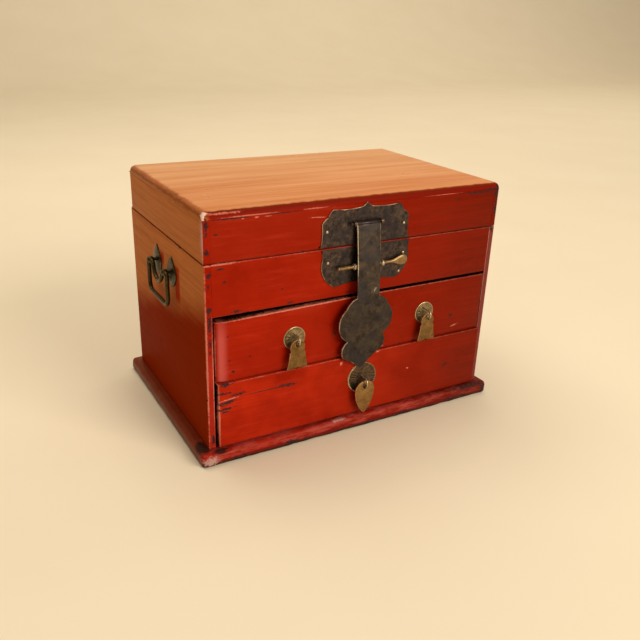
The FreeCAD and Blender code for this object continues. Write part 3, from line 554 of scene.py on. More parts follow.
def glare_painted_top(tree, coords, colour, lines):
    """The lid's top: a painted reflection of the warm room in pale salmon streaks along the board, painted
    shade on its front roundover, a brown painted reflection on its rounded left edge, painted highlights on
    its near corner.
    """
    place = coords["Object"]
    x, y, z = add(tree, SEPARATE, [place]).node.outputs
    top = lid_high.z
    ragged = add(tree, NOISE, [place, 1 / (9 * MM), 4.0])
    # Painted reflection: the rounded left edge brown like the side, with a darker ragged stripe.
    painted_reflection_left = add(tree, RANGE, [x, -171 * MM, -176 * MM])
    upper = add(tree, RANGE, [z, top - 8 * MM, top - 2 * MM])
    worn = add(tree, MIX, [upper, "#AE6630", "#B4683A"], data_type="RGBA")
    drawn = streaks(tree, place, (5, 26, 5), 5.0, 0.7)
    stripe = add(tree, MATH, [drawn, 9.0 * MM, z], operation="MULTIPLY_ADD")
    stripe = add(tree, MATH, [stripe, top + 0.6 * MM], operation="SUBTRACT")
    stripe = add(tree, MATH, [stripe], operation="ABSOLUTE")
    stripe = add(tree, RANGE, [stripe, 2.6 * MM, 0.4 * MM, 0.0, 0.6])
    worn = add(tree, MIX, [stripe, worn, "#6A300C"], data_type="RGBA")
    colour = add(tree, MIX, [painted_reflection_left, colour, worn], data_type="RGBA")

    # Painted shade: the front roundover darker red, with a brown border above it.
    level = add(tree, MATH, [ragged, -1.2 * MM, z], operation="MULTIPLY_ADD")
    red_edge = add(tree, MATH, [1.0, painted_reflection_left], operation="SUBTRACT")
    painted_shade_roundover = add(tree, RANGE, [z, top - 7.5 * MM, top - 4.5 * MM, 0.0, 0.85])
    border = add(tree, RANGE, [level, top - 3.2 * MM, top - 1.8 * MM, 0.0, 0.8])
    for band, tone in ((painted_shade_roundover, "#72180E"), (border, "#6E2A10")):
        band = add(tree, MATH, [band, red_edge], operation="MULTIPLY")
        colour = add(tree, MIX, [band, colour, tone], data_type="RGBA")

    # Painted reflection: the warm room mirrored as pale salmon on the top, lighter towards the back.
    painted_glare = add(tree, RANGE, [level, top - 1.6 * MM, top - 0.8 * MM])
    back = add(tree, RANGE, [y, -100 * MM, 110 * MM])
    base = add(tree, MIX, [back, "#C07242", "#CC8A56"], data_type="RGBA")
    pale = add(tree, MIX, [back, "#D89868", "#E4AC7C"], data_type="RGBA")
    band = streaks(tree, place, (260, 14, 1000), 3.0)
    band = add(tree, RANGE, [add(tree, MIX, [0.6, lines, band]), 0.36, 0.64])
    salmon = add(tree, MIX, [band, base, pale], data_type="RGBA")
    colour = add(tree, MIX, [painted_glare, colour, salmon], data_type="RGBA")
    # Painted highlights on the near corner.
    corner = ragged_spots(tree, place, ragged, lid_low.y, LID_CORNER_HIGHLIGHTS)
    return add(tree, MIX, [corner, colour, "#E8C8BC"], data_type="RGBA")


# Painted reflection of the handle on the left side, red strips where it hides the room's glare: middle, half
# width, bottom and top in mm
HANDLE_REFLECTION = ((-42.4, 7.0, 150, 195), (5.6, 6.0, 178, 197))
# How steeply the painted reflection's lower edge climbs towards the front
BROWN_TILT = 0.24


def reflection_painted_side(tree, coords, colour, lines):
    """A side painted with the warm room's reflection: orange towards the top, a dark red brown below, the
    handle's painted reflection as red strips beside it, its front edge rubbed pink."""
    place = coords["Object"]
    facing = add(tree, SEPARATE, [coords["Normal"]]).node.outputs
    _, y, z = add(tree, SEPARATE, [place]).node.outputs
    cloud = add(tree, NOISE, [place, 1 / (70 * MM), 3.0])
    drawn = streaks(tree, place, (8, 90, 8), 5.0, 0.65)
    # Painted reflection of the room: orange above, dark red brown below, in streaks.
    level = add(tree, MATH, [y, BROWN_TILT, z], operation="MULTIPLY_ADD")
    level = add(tree, MATH, [cloud, 24 * MM, level], operation="MULTIPLY_ADD")
    level = add(tree, MATH, [drawn, 32 * MM, level], operation="MULTIPLY_ADD")
    up = add(tree, RANGE, [level, 146 * MM, 190 * MM], interpolation_type="SMOOTHSTEP")
    brown = add(tree, MIX, [up, "#862602", "#BC7240"], data_type="RGBA")
    for marks, start, end, share in ((drawn, 0.46, 0.72, 0.22), (lines, 0.45, 0.7, 0.24)):
        streak = add(tree, RANGE, [marks, start, end, 0.0, share])
        brown = add(tree, MIX, [streak, brown, "#5C1800"], data_type="RGBA")
    # Painted reflection: red strips for the handle mirrored in the side.
    for middle, half, bottom, top in HANDLE_REFLECTION:
        away = add(tree, MATH, [add(tree, MATH, [y, -middle * MM], operation="ADD")], operation="ABSOLUTE")
        reflected_handle = add(tree, RANGE, [away, (half + 1.5) * MM, (half - 1.5) * MM, 0.0, 0.85])
        for start, end in ((bottom, bottom + 8), (top, top - 4)):
            within = add(tree, RANGE, [z, start * MM, end * MM])
            reflected_handle = add(tree, MATH, [reflected_handle, within], operation="MULTIPLY")
        brown = add(tree, MIX, [reflected_handle, brown, "#961E06"], data_type="RGBA")
    front = add(tree, RANGE, [facing["Y"], -0.6, -0.95])
    front = add(tree, MATH, [front, add(tree, RANGE, [cloud, 0.35, 0.6, 0.15, 0.55])], operation="MULTIPLY")
    front = add(tree, MATH, [front, add(tree, RANGE, [z, 168 * MM, 110 * MM])], operation="MULTIPLY")
    colour = add(tree, MIX, [front, colour, "#B4463A"], data_type="RGBA")
    return add(tree, MIX, [add(tree, RANGE, [facing["X"], -0.5, -0.9]), colour, brown], data_type="RGBA")


def painted_shade_black(tree, lines):
    """Black with the grain's lines, a painted shade for faces that lie in shadow."""
    return add(tree, MIX, [lines, "#120504", "#2A0E08"], data_type="RGBA")


def shaded_inside(tree, coords, colour, lines):
    """The right side, black with painted shade on its bare inner face beside the drawers, its front edge
    dulled with painted shade.
    """
    facing = add(tree, SEPARATE, [coords["Normal"]]).node.outputs
    front = add(tree, RANGE, [facing["Y"], -0.6, -0.95, 0.0, 0.5])
    colour = add(tree, MIX, [front, colour, "#7A4644"], data_type="RGBA")
    z = add(tree, SEPARATE, [coords["Object"]]).node.outputs["Z"]
    below = add(tree, RANGE, [z, rail_low.z + 0.5 * MM, rail_low.z - 0.5 * MM])
    inner = add(tree, MATH, [add(tree, RANGE, [facing["X"], -0.6, -0.9]), below], operation="MULTIPLY")
    return add(tree, MIX, [inner, colour, painted_shade_black(tree, lines)], data_type="RGBA")


def shaded_end(tree, coords, colour, lines):
    """A drawer's front, black with painted shade on its left end."""
    end = add(tree, RANGE, [add(tree, SEPARATE, [coords["Normal"]]).node.outputs["X"], -0.75, -0.95])
    return add(tree, MIX, [end, colour, painted_shade_black(tree, lines)], data_type="RGBA")


def shaded_end_and_top(tree, coords, colour, lines):
    """A small drawer's front, black with painted shade on its left end and on its upper face."""
    colour = shaded_end(tree, coords, colour, lines)
    above = add(tree, RANGE, [add(tree, SEPARATE, [coords["Normal"]]).node.outputs["Z"], 0.75, 0.95])
    return add(tree, MIX, [above, colour, painted_shade_black(tree, lines)], data_type="RGBA")


def highlit_rounded_end(tree, coords, colour, lines):
    """The left drawer's rounded end, with a pink band painted as a highlight, stronger lower down."""
    colour = shaded_end_and_top(tree, coords, colour, lines)
    x, _, z = add(tree, SEPARATE, [coords["Object"]]).node.outputs
    band = add(tree, RANGE, [x, -168.5 * MM, -165.5 * MM])
    falling = add(tree, RANGE, [x, -154.0 * MM, -166.0 * MM], interpolation_type="SMOOTHERSTEP")
    lower = add(tree, RANGE, [z, 160 * MM, 138 * MM, 0.25, 0.75])
    for share in (falling, lower):
        band = add(tree, MATH, [band, share], operation="MULTIPLY")
    return add(tree, MIX, [band, colour, "#C65A54"], data_type="RGBA")


# Dark smudges on the plinth's near corner: middle and half sizes in mm
SMUDGES = (((-184, -112, 15.5), (6, 10, 9)), ((-170, -126, 15.5), (7, 4, 9)))


def worn_and_shaded_plinth(tree, coords, colour, lines):
    """The plinth, kicked and rubbed to pink patches on its front, with painted shade on its right end and
    lower rounding, brown painted shade and reflection on its left, black along its foot.
    """
    place = coords["Object"]
    x, y, z = add(tree, SEPARATE, [place]).node.outputs
    patches = streaks(tree, place, (22, 9, 5), 6.0, 0.7)
    pink = add(tree, RANGE, [patches, 0.44, 0.6, 0.0, 0.75])
    colour = add(tree, MIX, [pink, colour, "#A8443C"], data_type="RGBA")
    # Painted shade: darker towards the right end.
    right = add(tree, RANGE, [x, 60 * MM, 190 * MM, 0.0, 0.65])
    colour = add(tree, MIX, [right, colour, "#5A1A12"], data_type="RGBA")
    # Painted shade: darker on the lower rounding.
    lower = add(tree, MATH, [patches, 8 * MM, z], operation="MULTIPLY_ADD")
    lower = add(tree, RANGE, [lower, 12.4 * MM, 10.2 * MM, 0.0, 0.85])
    colour = add(tree, MIX, [lower, colour, "#641610"], data_type="RGBA")
    foot = add(tree, MATH, [patches, -9 * MM, z], operation="MULTIPLY_ADD")
    foot = add(tree, RANGE, [foot, 0.6 * MM, -1.2 * MM, 0.0, 0.9])
    colour = add(tree, MIX, [foot, colour, "#2C1612"], data_type="RGBA")
    # Painted shade and reflection: brown on the left.
    left = add(tree, RANGE, [x, -174 * MM, -182 * MM, 0.0, 0.85])
    left = add(tree, MATH, [left, add(tree, RANGE, [y, -127 * MM, -119 * MM])], operation="MULTIPLY")
    colour = add(tree, MIX, [left, colour, "#6A2C14"], data_type="RGBA")
    for middle, half in SMUDGES:
        reach = spot_reach(tree, place, middle, half)
        reach = add(tree, MATH, [patches, 2.0, reach], operation="MULTIPLY_ADD")
        smudge = add(tree, RANGE, [reach, 2.3, 1.8, 0.0, 0.92])
        colour = add(tree, MIX, [smudge, colour, "#2A1814"], data_type="RGBA")
    return colour


RED, DEEP = "#A42008", "#8A1604"
LID_RED, LOW_RED = "#94200C", "#BE2C10"
SEAM = "#6E3416"
ALONG_X, ALONG_Y = 0, 1
LID_BOX, CASE_BOX, RAIL_BOX = (lid_low, lid_high), (case_low, case_high), (rail_low, rail_high)

# Each board: its node, body and grain, the box whose edges wear, its edges' radii in mm, its own lacquer
# In the pale lists, thin lines along edges and spots on near corners are painted highlights, the small spots
# rubbed through.
for node, body, grain, worn, radii, extra in (
    ("lid_top_panel", "lid", ALONG_X, LID_BOX,
     {"top": 6.5, "left top": 7.8, "left front": 2.5, "right front": 2.5, "left back": 7.5,
      "right back": 2.5, "front bottom": 0.3, "left bottom": 0.15},
     {"tint": glare_painted_top, "rub_and_highlight_strength": 0.6, "shine": 0.02, "bare_and_highlight": "#C06656", "rub_and_highlight": "#BC6A44",
      "pale": ((-158, 265.8, 16, 0.9, 0), (-130, 261.6, 26, 0.7, 0), (-62, 261.6, 14, 0.6, 0),
               (100, 261.4, 22, 0.4, 0)),
      "dark": ((-176.5, 261.0, 1.8, 3.0, 0), (176.5, 262, 2.4, 4.0, 0), (168, 262, 7, 1.2, 0))}),
    ("lid_left_board", "lid", ALONG_Y, LID_BOX,
     {"left front": 2.5, "left back": 7.5, "right front": 0.15, "left top": 0.15},
     {"tint": reflection_painted_side, "shine": 0.003, "rub_and_highlight": SEAM,
      "dark": ((-176.0, 255.0, 1.8, 5.5, 0), (-176.2, 247, 1.4, 3.0, 0), (-175.6, 230.6, 2.6, 2.8, 0)),
      "pale": ((-179.6, 244, 0.5, 26, 0),), "bare_and_highlight": "#C49490"}),
    ("lid_right_board", "lid", ALONG_Y, LID_BOX, {"right front": 2.5, "right back": 2.5, "left front": 0.15},
     {"dark": ((175.5, 256.0, 2.4, 5.0, 0), (176.5, 240.0, 1.8, 7.0, 0))}),
    ("lid_front_board", "lid", ALONG_X, LID_BOX,
     {"front bottom": 1.2, "left front": 0.15, "right front": 0.15},
     {"dark": ((-150, 260.2, 16, 0.9, 0), (-95, 260.4, 20, 0.6, 0), (150, 259.6, 20, 1.0, 0),
               (120, 254, 2, 1.5, 0), (-166.5, 246.0, 1.6, 1.0, 0)),
      "pale": ((-124, 259.0, 2.2, 0.8, 0), (-139, 259.2, 1.4, 0.8, 0), (-112, 258.8, 3.0, 0.6, 0),
               (-58, 252, 9, 0.5, 4))}),
    ("lid_back_board", "lid", ALONG_X, LID_BOX, {"back bottom": 1.2}, {}),
    ("left_side_panel", "case", ALONG_Y, None,
     {"left front": 2.5, "left back": 2.5, "front top": 1.6, "left top": 1.2},
     {"tint": reflection_painted_side, "shine": 0.001, "rub_and_highlight": SEAM,
      "dark": ((-174.4, 207.2, 2.2, 2.8, 0), (-175.5, 196.0, 1.0, 3.0, 0), (-174.7, 171.5, 3.0, 3.4, 0),
               (-175.1, 157.1, 2.0, 9.0, 0), (-174.9, 135.6, 1.8, 4.0, 0), (-175.2, 126.0, 1.0, 2.6, 0),
               (-174.6, 25.0, 2.0, 6.0, 0)),
      "pale": ((-178.7, 118, 0.9, 98, 0), (-172.6, 95, 0.5, 64, 0), (-176.5, 216.6, 3.6, 1.0, 0))}),
    ("right_side_panel", "case", ALONG_Y, None, {"right front": 2.5, "right back": 2.5, "front top": 1.6},
     {"tint": shaded_inside, "dark": ((174.5, 214.0, 2.0, 3.0, 0),)}),
    ("back_panel", "case", ALONG_X, CASE_BOX, {"back top": 1.2}, {}),
    ("front_rail", "case", ALONG_X, RAIL_BOX,
     {"front top": 2.0, "front bottom": 1.2, "left front": 0.15, "right front": 0.15},
     {"dark": ((-159.1, 198.8, 1.6, 1.2, 0), (-163, 212.0, 4.0, 1.0, 4), (-146.1, 166.4, 6.0, 1.4, 0),
               (-86.8, 166.0, 4.0, 1.3, 0), (-18.0, 166.0, 2.6, 1.4, 0), (-96.6, 182.0, 1.2, 0.8, 0)),
      "pale": ((-160, 216.8, 13, 0.9, 0),)}),
):
    piece, low, high = board(node, radii)
    red = LID_RED if body == "lid" else RED
    paint = lacquer("red lacquer over softwood " + node, *(worn or (low, high)), grain, red, DEEP, **extra)
    settle(piece, "lacquered_" + node, body, "red_lacquer", paint, node)


# Drawer fronts

def sweep_back(piece, low, high):
    """Bends the left drawer's front back at its left end and lets its top slope down to that end."""
    edit(piece)
    for i in range(1, SWEEP_CUTS + 1):
        cut((low.x + SWEEP_STEP * i * MM, 0, 0), TO_RIGHT)
    mesh = bmesh.from_edit_mesh(piece.data)
    for vertex in mesh.verts:
        inward = (vertex.co.x - low.x) / (SWEEP_LENGTH * MM)
        if inward < 1 and vertex.co.y < low.y + SWEEP_SKIN * MM:
            vertex.co.y += SWEEP_DEPTH * MM * (1 - inward) ** 2
        if vertex.co.z > low.z + SLOPE_ABOVE * MM:
            vertex.co.z -= TOP_SLOPE * MM * (high.x - vertex.co.x) / (high.x - low.x)
    bmesh.update_edit_mesh(piece.data)
    edit(piece, False)
    smooth(piece)


# Each front: its drawer, its red, its edges' radii in mm, its own lacquer
# In the pale lists, the thin lines along edges are painted highlights, the small spots rubbed through.
for side, red, radii, extra in (
    ("left", RED, {"left front": 1.5, "front top": 1.6, "front": 1.2},
     {"tint": highlit_rounded_end,
      "dark": ((-151.8, 101.6, 1.8, 1.2, 0), (-155.7, 114.5, 1.0, 0.8, 0), (-133.9, 115.1, 1.0, 0.8, 0),
               (-157.5, 141.0, 1.0, 1.2, 0), (-31.9, 121.2, 2.6, 1.4, 20)),
      "pale": ((-85, 158.4, 85, 0.8, -1), (-169.6, 124, 0.7, 33, 0))}),
    ("right", RED, {"front top": 1.6, "front": 1.2},
     {"tint": shaded_end_and_top,
      "dark": ((125.8, 114.9, 2.4, 1.6, -20), (101.0, 135.6, 1.4, 0.8, 0), (80.0, 156.2, 1.5, 0.9, 0)),
      "pale": ((132.2, 100.8, 4.6, 0.7, -12), (30.0, 94.0, 1.8, 0.9, 0))}),
    ("lower", LOW_RED, {"front": 1.2, "front top": 2.2, "left front": 2.0},
     {"tint": shaded_end,
      "dark": ((-160.8, 89.6, 7.5, 1.8, -4), (-162.5, 80.0, 9.0, 1.5, 0), (-147.0, 76.4, 8.5, 1.5, -3),
               (-160.5, 69.0, 11.0, 2.2, -5), (-162.0, 62.0, 10.0, 1.4, -4), (-162.5, 58.4, 5.0, 0.9, -4),
               (-112.0, 73.4, 30.0, 0.6, 0), (-91.0, 73.4, 11.0, 1.7, 2), (123.0, 52.0, 5.0, 1.4, -36)),
      "pale": ((-169.0, 54, 1.0, 36.0, 0), (-158.5, 72.4, 10.0, 0.8, -5), (-24.7, 84.4, 1.8, 1.8, 0),
               (66.5, 59.2, 1.4, 0.9, 0), (23.0, 89.4, 2.4, 0.7, 0))}),
):
    node = f"{side}_drawer_front"
    piece, low, high = board(node, radii)
    if side == "left":
        sweep_back(piece, low, high)
    paint = lacquer("red lacquer over softwood " + node, low, high, ALONG_X, red, DEEP, **extra)
    settle(piece, "lacquered_" + node, f"{side}_drawer", "red_lacquer", paint, node)


# Plinth

piece, low, high = board("base_plinth", {
    "top": 5.0, "bottom": 4.0, "left front": 6.0, "right front": 6.0, "left back": 6.0, "right back": 6.0})
edit(piece)
for axis, count in enumerate(PLINTH_CUTS):
    for i in range(1, count):
        place = [0, 0, 0]
        place[axis] = low[axis] + (high[axis] - low[axis]) * i / count
        cut(place, [float(n == axis) for n in range(3)])
edit(piece, False)
lumps = bpy.data.textures.new("dents of a kicked edge", "CLOUDS")
lumps.noise_scale = DENT_SIZE * MM
finish_with(
    piece, "DISPLACE", texture=lumps, texture_coords="LOCAL", strength=DENT_DEPTH * MM, mid_level=0.55)
for vertex in piece.data.vertices:
    vertex.co.z = max(0.0, vertex.co.z)
smooth(piece, 60)
paint = lacquer(
    "red lacquer over softwood plinth", low, high, ALONG_X, "#9E2418", "#7E160C", chips=1.6,
    tint=worn_and_shaded_plinth,
    dark=((-88, 5.5, 8, 2.6, 0), (-70, 5.0, 6, 2.2, 0), (-151, 4.0, 9, 2.4, 0), (10, 4.0, 14, 1.4, 0),
          (60, 4.6, 12, 1.6, 0), (140, 5.0, 16, 2.0, 0), (184, 8.0, 4, 5.0, 0), (160, 15.0, 26, 2.2, 0)),
    pale=((-182, 7.0, 9, 5.0, 0), (-26, 15.2, 8, 1.0, 0)), bare_and_highlight="#B08A82")
settle(piece, "lacquered_plinth", "case", "red_lacquer", paint, "base_plinth")


# Metals: dark, light and rubbed colour (also a painted highlight on rims), size of the mottle in mm,
# roughness, flecks

bronze = metal(
    "patinated bronze sheet", "#262122", "#534740", "#B09A7C", 5, 0.42, "#6A4C36", tarnish="#2B272C")
strap_bronze = metal(
    "rubbed bronze strap", "#2B2624", "#51463C", "#D0C2A8", 8, 0.38, "#564230", tarnish="#353338",
    worn=((7.0, 169.3, 2.8, 1.2, -40),))
plate_bronze = metal("chased bronze plate", "#3A2E24", "#6A5642", "#D2BC96", 3, 0.4, "#7A6040")
brass = metal("antique brass", "#66491F", "#8C6B40", "#C8AC7C", 6, 0.38, "#5E4A2A")
leaf_brass = metal("polished brass leaf", "#7C5C32", "#A27C4A", "#DCC294", 7, 0.34, "#684E2C")
pale_brass = metal("antique brass plate", "#6C5A42", "#9C8864", "#BCA882", 4, 0.38, "#74603A")
bright_brass = metal("brass rubbed bright", "#745834", "#947648", "#DCCCA8", 5, 0.3, "#725430", 0.55)
nail_brass = metal("brass nails", "#A09078", "#C8BCA4", "#E4DAC4", 3, 0.34, "#8A7858")
old_brass = metal("aged brass with an olive patina", "#322B18", "#584A2A", "#9C885E", 5, 0.4, "#5E4A26")


# Cut sheets

def bowed(corners, steps=8):
    """Points along an outline of (x, z, bow) corners. Each run to the next corner bows to its right."""
    points = []
    for (x0, z0, bow), (x1, z1, _) in zip(corners, corners[1:]):
        count = steps if bow else 1
        for i in range(count):
            t = i / count
            off = 4 * bow * t * (1 - t) / math.hypot(x1 - x0, z1 - z0)
            points.append((x0 + (x1 - x0) * t + (z1 - z0) * off, z0 + (z1 - z0) * t - (x1 - x0) * off))
    return points + [corners[-1][:2]]


def both_sides(half):
    """A closed outline from its right half."""
    return half + [(-x, z) for x, z in reversed(half) if x > 1e-6]


def arc(cx, cz, radius, start, end, steps):
    """Points on an arc, in degrees."""
    angles = [math.radians(start + (end - start) * i / steps) for i in range(steps + 1)]
    return [(cx + radius * math.cos(a), cz + radius * math.sin(a)) for a in angles]


def rim_layer(piece, value):
    """Stores how near each vertex is to a rim, from 0 to 1, for the metal's rubbed edges and painted
    highlights.
    """
    layer = piece.data.attributes.new("rim", "FLOAT", "POINT")
    layer.data.foreach_set("value", [min(1.0, max(0.0, value(vertex.co))) for vertex in piece.data.vertices])


# The way light falls on rims: a rim facing it gets a painted highlight.
HIGHLIGHT_FACING = (-0.83, 0.55)


def nearness(loop, x, z, reach):
    """From 0 to 1, how near a point is to an outline's rim, most where the rim faces up and left, as a
    painted highlight.
    """
    best, facing = math.inf, 0.0
    for (x0, z0), (x1, z1) in zip(loop, loop[1:] + loop[:1]):
        dx, dz = x1 - x0, z1 - z0
        run = max(math.hypot(dx, dz), 1e-9)
        t = max(0.0, min(1.0, ((x - x0) * dx + (z - z0) * dz) / run ** 2))
        away = math.hypot(x - x0 - dx * t, z - z0 - dz * t)
        if away < best:
            best, facing = away, (HIGHLIGHT_FACING[0] * dz - HIGHLIGHT_FACING[1] * dx) / run
    return (1 - best / reach) * max(0.15, min(1.0, 0.5 + 0.7 * facing))


def sheet_metal(loops, origin, across, thickness=PLATE_THICKNESS, rim=1.1, easing=0.3, seam=(), boss=0.0):
    """A cut sheet: an outline and its holes filled, inset for a rim, thickened outwards and eased. A seam is
    a pair of heights between which the rim stays dull. A boss presses the middle out inside a border."""
    outward = across.cross(UP)
    origin = Vector(origin) * MM
    bpy.ops.object.select_all(action="DESELECT")
    bpy.ops.mesh.primitive_circle_add(vertices=len(loops[0]), radius=MM)
    piece = bpy.context.object
    edit(piece)
    for loop in loops[1:]:
        bpy.ops.mesh.primitive_circle_add(vertices=len(loop), radius=MM)
    mesh = bmesh.from_edit_mesh(piece.data)
    for vertex, (u, v) in zip(mesh.verts, [point for loop in loops for point in loop]):
        vertex.co = origin + across * u * MM + UP * v * MM
    bmesh.update_edit_mesh(piece.data)
    bpy.ops.mesh.select_all(action="SELECT")
    bpy.ops.mesh.fill()
    mesh = bmesh.from_edit_mesh(piece.data)
    if sum(face.normal.dot(outward) for face in mesh.faces) < 0:
        bpy.ops.mesh.flip_normals()
    bpy.ops.mesh.inset(thickness=rim * MM, use_boundary=True)
    if boss:
        bpy.ops.mesh.inset(thickness=BOSS_BORDER * MM, use_boundary=True)
        bpy.ops.transform.translate(value=outward * boss * MM)
    edit(piece, False)
    finish_with(piece, "SOLIDIFY", thickness=thickness * MM, offset=1)
    ease(piece, easing, 2)
    closed(piece)

    def near(point):
        away = point - origin
        x, z = away.dot(across) / MM, away.z / MM
        if seam and seam[0] < z < seam[1]:
            return 0.0
        return max(nearness(loop, x, z, rim) for loop in loops)

    rim_layer(piece, near)
    smooth(piece, 35)
    return piece


plate_upper = bowed([
    (56, 1.5, -0.6), (53.4, 5.5, -0.6), (53.4, 25.5, 1), (46.2, 32.05, 1), (40.4, 40, -1.2), (6.5, 40, -0.6),
    (0, 44.7, 0)])
piece = sheet_metal([both_sides(plate_upper)], (0, FACE, LID_FOOT), TO_RIGHT, seam=(0, 4))
settle(piece, "bronze_lock_plate_upper", "lid", "dark_bronze", bronze, "lock_plate_upper")

plate_lower = bowed([
    (0, -39.6, -1.2), (37.6, -42.6, 1), (46.6, -36.2, 0.6), (50.6, -31.8, 2.4), (53.4, -11, -0.6),
    (54.6, -0.8, 0)])
piece = sheet_metal([both_sides(plate_lower)], (PLATE_SHIFT, FACE, CASE_TOP), TO_RIGHT, seam=(-4, 0))
settle(piece, "bronze_lock_plate_lower", "case", "dark_bronze", bronze, "lock_plate_lower")


# Handle plates

def ridged(plate, middle, across):
    """Raises a low ridge down the middle of a spear plate."""
    outward = across.cross(UP)
    edit(plate)
    cut(middle, across)
    mesh = bmesh.from_edit_mesh(plate.data)
    for vertex in mesh.verts:
        away = (vertex.co - middle) / MM
        if away.dot(outward) > PLATE_THICKNESS / 2:
            ends = min(1.0, (SPEAR_TOP - away.z) / RIDGE_FADE, (away.z - SPEAR_BOTTOM) / RIDGE_FADE)
            share = max(0.0, 1 - abs(away.dot(across)) / RIDGE_REACH) * max(0.0, ends)
            vertex.co += outward * RIDGE_HEIGHT * MM * share
    bmesh.update_edit_mesh(plate.data)
    edit(plate, False)


spear = both_sides(bowed([(0, SPEAR_BOTTOM, 1), (10.5, -10, 1), (SPEAR_HALF, 0.5, 1), (0, SPEAR_TOP, 0)]))
for side, x in (("left", LEFT), ("right", RIGHT)):
    across = Vector((0, math.copysign(1, x), 0))
    plates = [sheet_metal([spear], (x, y, HANDLE_LEVEL), across, rim=1.6) for y in HANDLE_PLATES]
    for plate, y in zip(plates, HANDLE_PLATES):
        ridged(plate, Vector((x, y, HANDLE_LEVEL)) * MM, across)
    plates = join(plates)
    settle(plates, f"brass_{side}_handle_plates", "case", "aged_brass", old_brass, f"{side}_handle_plates")


# Pendants and pull plates

hole = arc(0, 0, PENDANT_HOLE, 0, 345, 23)
bell = bowed([(0, -25.4, 0.6), (12.0, -26.4, -0.5), (9.0, -8.2, 0), (7.2, -7.2, 0)])
bell += arc(0, -2.6, 8.5, -32, 90, 18)
leaf = [(0, -33.4)] + arc(-26.09, -5.1, 38.49, -45, 0, 15) + arc(0, -5.1, 12.4, 6, 90, 14)
for side, outline, boss, finish in (
    ("left", bell, 0.0, brass), ("right", bell, 0.0, brass), ("lower", leaf, 0.5, leaf_brass),
):
    x, _, z = PIVOTS[f"{side}_pendant_swing"]
    _, (_, back, _) = box_mm(f"{side}_pull_pendant")
    loops = [both_sides(outline), hole]
    piece = sheet_metal(loops, (x, back, z), TO_RIGHT, PENDANT_THICKNESS, rim=0.9, easing=0.35, boss=boss)
    name = f"{side}_pendant"
    settle(piece, "brass_" + name, name, "antique_brass", finish, f"{side}_pull_pendant")


# Shares of a pull plate's radius where its petals start, its rim starts and its rim ends
PETALS_START, RIM_START, RIM_END = 0.3, 0.86, 0.99
RIM_RISE, PLATE_RISE = 0.45, 0.35
PLATE_POINTS, PLATE_RINGS = 144, 9


def pull_plate(side, radius, petals, crown, ripple):
    """A thin round plate raised in a low crown, with a rim and petals pressed into it, and its middle."""
    x, _, _ = PIVOTS[f"{side}_pendant_swing"]
    (_, face, _), _ = box_mm(f"{side}_drawer_front")
    (_, _, foot), _ = box_mm(f"{side}_pull_plate")
    z = foot + radius
    middle = Vector((x, face, z))
    bpy.ops.object.select_all(action="DESELECT")
    bpy.ops.mesh.primitive_circle_add(vertices=PLATE_POINTS, radius=radius * MM, fill_type="NGON",
                                      location=middle * MM, rotation=(math.pi / 2, 0, 0))
    piece = bpy.context.object
    bpy.ops.object.transform_apply(location=True, rotation=True, scale=True)
    edit(piece)
    bpy.ops.mesh.select_all(action="SELECT")
    for step in (0.35, 0.7, 0.9) + (radius / 12,) * PLATE_RINGS:
        bpy.ops.mesh.inset(thickness=step * MM)
    mesh = bmesh.from_edit_mesh(piece.data)
    for vertex in mesh.verts:
        across, up = vertex.co.x / MM - x, vertex.co.z / MM - z
        share = math.hypot(across, up) / radius
        angle = math.atan2(up, across)
        rim = RIM_RISE if RIM_START < share < RIM_END else 0.0
        inner = min(1.0, max(0.0, (share - PETALS_START) / (RIM_START - PETALS_START)))
        petal = math.sin(math.pi * inner) * math.cos(petals * angle)
        rise = PLATE_RISE + crown * (1 - share ** 2) + rim + ripple * petal
        vertex.co.y = (face - rise) * MM
    bmesh.update_edit_mesh(piece.data)
    pick("EDGE", lambda edge: edge.is_boundary)
    bpy.ops.mesh.extrude_edges_move(TRANSFORM_OT_translate={"value": (0, 0.1 * MM, 0)})
    mesh = bmesh.from_edit_mesh(piece.data)
    for vertex in mesh.verts:
        if vertex.select:
            vertex.co.y = face * MM
    bmesh.update_edit_mesh(piece.data)
    bpy.ops.mesh.edge_face_add()
    edit(piece, False)
    closed(piece)
    rim_layer(piece, lambda point: (math.hypot(point.x / MM - x, point.z / MM - z) / radius - RIM_START) * 8)
    smooth(piece, 50)
    return piece, middle


def bead_ring(middle, radius):
    """A ring of small beads round a plate, one bead modelled and spun."""
    bpy.ops.object.select_all(action="DESELECT")
    bpy.ops.mesh.primitive_ico_sphere_add(subdivisions=2, radius=BEAD_RADIUS * MM,
                                          location=(middle + UP * radius) * MM)
    beads = bpy.context.object
    bpy.ops.object.transform_apply(location=True, rotation=True, scale=True)
    edit(beads)
    bpy.ops.mesh.select_all(action="SELECT")
    bpy.ops.mesh.spin(dupli=True, steps=BEAD_COUNT - 1, angle=math.tau * (BEAD_COUNT - 1) / BEAD_COUNT,
                      center=middle * MM, axis=(0, 1, 0))
    edit(beads, False)
    # Painted highlight: beads on the left are brighter.
    rim_layer(beads, lambda point: 0.45 - (point.x / MM - middle.x) / 30)
    smooth(beads)
    return beads


for side in ("left", "right"):
    name = f"{side}_pull_plate"
    piece, _ = pull_plate(side, SMALL_PLATE_RADIUS, petals=14, crown=0.55, ripple=0.16)
    settle(piece, "brass_" + name, f"{side}_drawer", "antique_brass", pale_brass, name)

piece, middle = pull_plate("lower", LOWER_PLATE_RADIUS, petals=24, crown=0.5, ripple=0.2)
beads = bead_ring(middle + TO_FRONT * BEAD_DEPTH, LOWER_PLATE_RADIUS - BEAD_INSET)
piece = join([piece, beads])
settle(piece, "bronze_lower_pull_plate", "lower_drawer", "dark_bronze", plate_bronze, "lower_pull_plate")


# Hasp and lock pin

